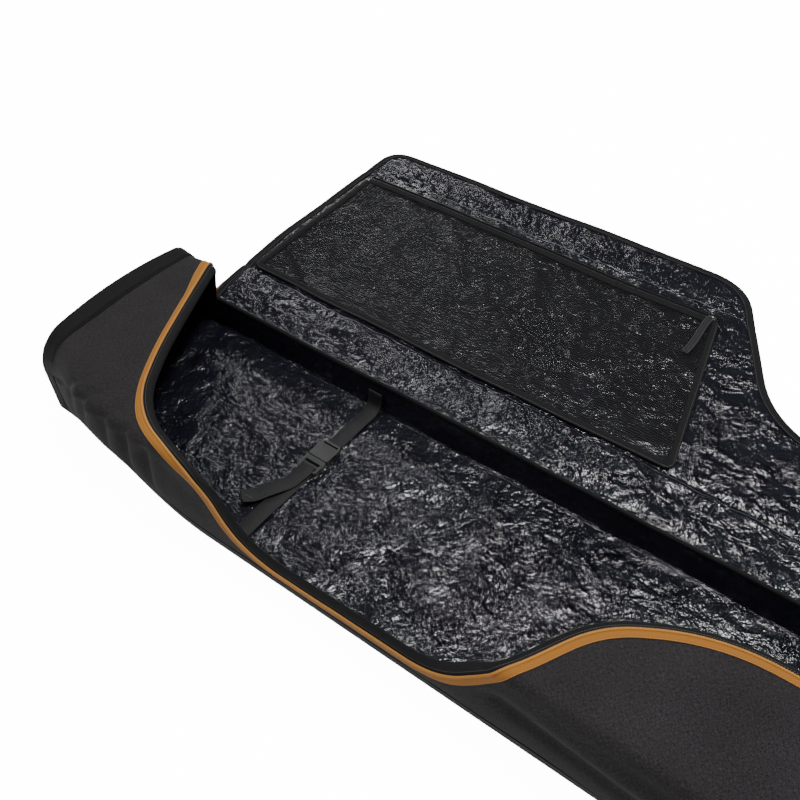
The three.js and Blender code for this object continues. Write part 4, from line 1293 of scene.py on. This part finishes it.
def handle_on_spine():
    """The padded carry handle on the lid's outer side, with its two stitched patches."""
    low, high = box("carry_handle")
    y = (low[1] + high[1]) / 2
    droop = 7 * MM
    xs = even_steps(low[0], high[0], 4 * MM)
    arch = np.sin((xs - low[0]) / (high[0] - low[0]) * math.pi)
    middle = (low[2] + high[2]) / 2
    line = np.stack([xs, y + 0 * xs, middle - droop * arch + 1.5 * MM], 1)
    strap = sweep("carry_handle_webbing", line, UP,
                  flat_band(high[1] - low[1], 2.4 * MM, (0, 0), 0.45), webbing)
    keep_piece(strap, "carry_handle", ("carry_handle",))
    grip = np.abs(xs) < 60 * MM
    pad = sweep("carry_handle_grip", line[grip], UP, ellipse(30 * MM, 9 * MM, 20), webbing)
    keep_piece(pad, "carry_handle")
    for end in ("nose", "tail"):
        patch_low, patch_high = box("handle_patch_" + end)
        corners = [(patch_low[0], patch_low[1], 4 * MM), (patch_high[0], patch_low[1], 4 * MM),
                   (patch_high[0], patch_high[1], 4 * MM), (patch_low[0], patch_high[1], 4 * MM)]
        patch = slab("handle_patch_" + end + "_cloth", rounded_outline(corners, 6),
                     patch_low[2] - 0.6 * MM, patch_high[2], 2, black_tape)
        keep_piece(patch, "lid_spine", ("handle_patch_" + end,))


def grab_handle(end):
    """A webbing loop across one end of the bag."""
    low, high = box(end + "_grab_handle")
    out = -1 if end == "nose" else 1
    face = min(abs(low[0]), abs(high[0]))
    z = (low[2] + high[2]) / 2
    ys = even_steps(low[1], high[1], 4 * MM)
    arch = smooth((high[1] - np.abs(ys)) / (40 * MM))
    wall_bulge = 7 * MM
    line = np.stack([out * (face + wall_bulge + 1 * MM + 9 * MM * arch), ys, z - 1.5 * MM * arch], 1)
    strap = sweep(end + "_grab_webbing", line, out * ALONG_X,
                  flat_band(high[2] - low[2] - 6 * MM, 2.2 * MM, (0, 0), 0.45), webbing)
    keep_piece(strap, end + "_grab_handle", (end + "_grab_handle",))
    for number, side in ((1, -1), (2, 1)):
        centre = np.array([out * (face + wall_bulge + 2.4 * MM), side * (high[1] - 7 * MM), z])
        bar_tack("%s_grab_tack_%d" % (end, number), centre, UP, ALONG_Y, out * ALONG_X,
                 high[2] - low[2] - 10 * MM, end + "_grab_handle")


def padding():
    """The base's foam sheet keeps its CAD shape."""
    sheet_node = frame["nodes"]["base_foam"]
    sheet_node.data.materials.clear()
    sheet_node.data.materials.append(foam)


# ---- Floor, light and camera -------------------------------------------------------------------------

FLOOR_GLOW = 14.0
SKY_OVERHEAD = 1.3
SKY_AT_HORIZON = 0.12
SKY_IN_REFLECTIONS = 0.05
FLOOR_HALF = 14.0
FLOOR_LEVEL = -2.2 * MM
LENS = 42.7
SENSOR = 36
AZIMUTH = math.radians(36.78)
ELEVATION = math.radians(45.1)
DISTANCE = 1.395
CAMERA_AIM = (-0.438, 0.164, 0.05)
LAMP_AIM = (-0.3, 0.2, 0.05)


def floor_sheet():
    """A pale floor whose glow is seen by the camera only."""
    corners = [(x * FLOOR_HALF, y * FLOOR_HALF, FLOOR_LEVEL) for x, y in ((-1, -1), (1, -1), (1, 1), (-1, 1))]
    f = Finish("pale_floor")
    seen = f.node("ShaderNodeLightPath", {}).outputs["Is Camera Ray"]
    look = f.finish(Base_Color=grey(0.8), Roughness=0.95, Specular_IOR_Level=0.0,
                    Emission_Color=grey(1.0), Emission_Strength=f.ramp(seen, 0.0, FLOOR_GLOW))
    add_mesh("floor", corners, [[0, 1, 2, 3]], None, look)


def lamp(name, place, size, power):
    """A soft rectangular lamp turned towards the bag."""
    light = bpy.data.lights.new(name, "AREA")
    light.shape = "RECTANGLE"
    light.size, light.size_y = size
    light.energy = power
    obj = bpy.data.objects.new(name, light)
    obj.location = place
    obj.rotation_euler = (Vector(LAMP_AIM) - Vector(place)).to_track_quat("-Z", "Y").to_euler()
    bpy.context.scene.collection.objects.link(obj)


def studio():
    """A sky that is brighter overhead and dim in reflections, and three soft lamps."""
    world = bpy.data.worlds.new("studio")
    bpy.context.scene.world = world
    world.use_nodes = True
    tree = world.node_tree
    view = tree.nodes.new("ShaderNodeTexCoord")
    parts = tree.nodes.new("ShaderNodeSeparateXYZ")
    tree.links.new(view.outputs["Generated"], parts.inputs[0])
    sky = tree.nodes.new("ShaderNodeMapRange")
    sky.inputs["To Min"].default_value = SKY_AT_HORIZON
    sky.inputs["To Max"].default_value = SKY_OVERHEAD
    tree.links.new(parts.outputs["Z"], sky.inputs["Value"])
    path = tree.nodes.new("ShaderNodeLightPath")
    dimmer = tree.nodes.new("ShaderNodeMapRange")
    tree.links.new(sky.outputs[0], dimmer.inputs["To Min"])
    dimmer.inputs["To Max"].default_value = SKY_IN_REFLECTIONS
    tree.links.new(path.outputs["Is Glossy Ray"], dimmer.inputs["Value"])
    tree.links.new(dimmer.outputs[0], tree.nodes["Background"].inputs["Strength"])
    tree.nodes["Background"].inputs["Color"].default_value = grey(1.0)
    lamp("key", (0.1, 0.5, 2.7), (0.55, 0.4), 70)
    lamp("back_strip", (-2.2, 2.2, 1.6), (0.9, 0.2), 12)
    lamp("near_fill", (-2.4, -1.2, 1.7), (0.5, 0.4), 5)


def camera():
    target = Vector(CAMERA_AIM)
    level = math.cos(ELEVATION)
    back = Vector((math.sin(AZIMUTH) * level, -math.cos(AZIMUTH) * level, math.sin(ELEVATION)))
    data = bpy.data.cameras.new("camera")
    data.lens = LENS
    data.sensor_width = SENSOR
    obj = bpy.data.objects.new("camera", data)
    obj.location = target + back * DISTANCE
    obj.rotation_euler = back.to_track_quat("Z", "Y").to_euler()
    bpy.context.scene.collection.objects.link(obj)
    bpy.context.scene.camera = obj


# ---- Put it together ---------------------------------------------------------------------------------

body_cloth()
body_inside()
base_sheet()
end_parts(-1)
end_parts(1)
mouth_edges()
hinge_cord()
lid_sheets()
lid_edges()
fold_seams()
pocket()
pocket_pull()
for bag_end in ("nose", "tail"):
    main_slider(bag_end)
    tie_down(bag_end)
    buckle(bag_end)
    grab_handle(bag_end)
handle_on_spine()
padding()
floor_sheet()
studio()
camera()
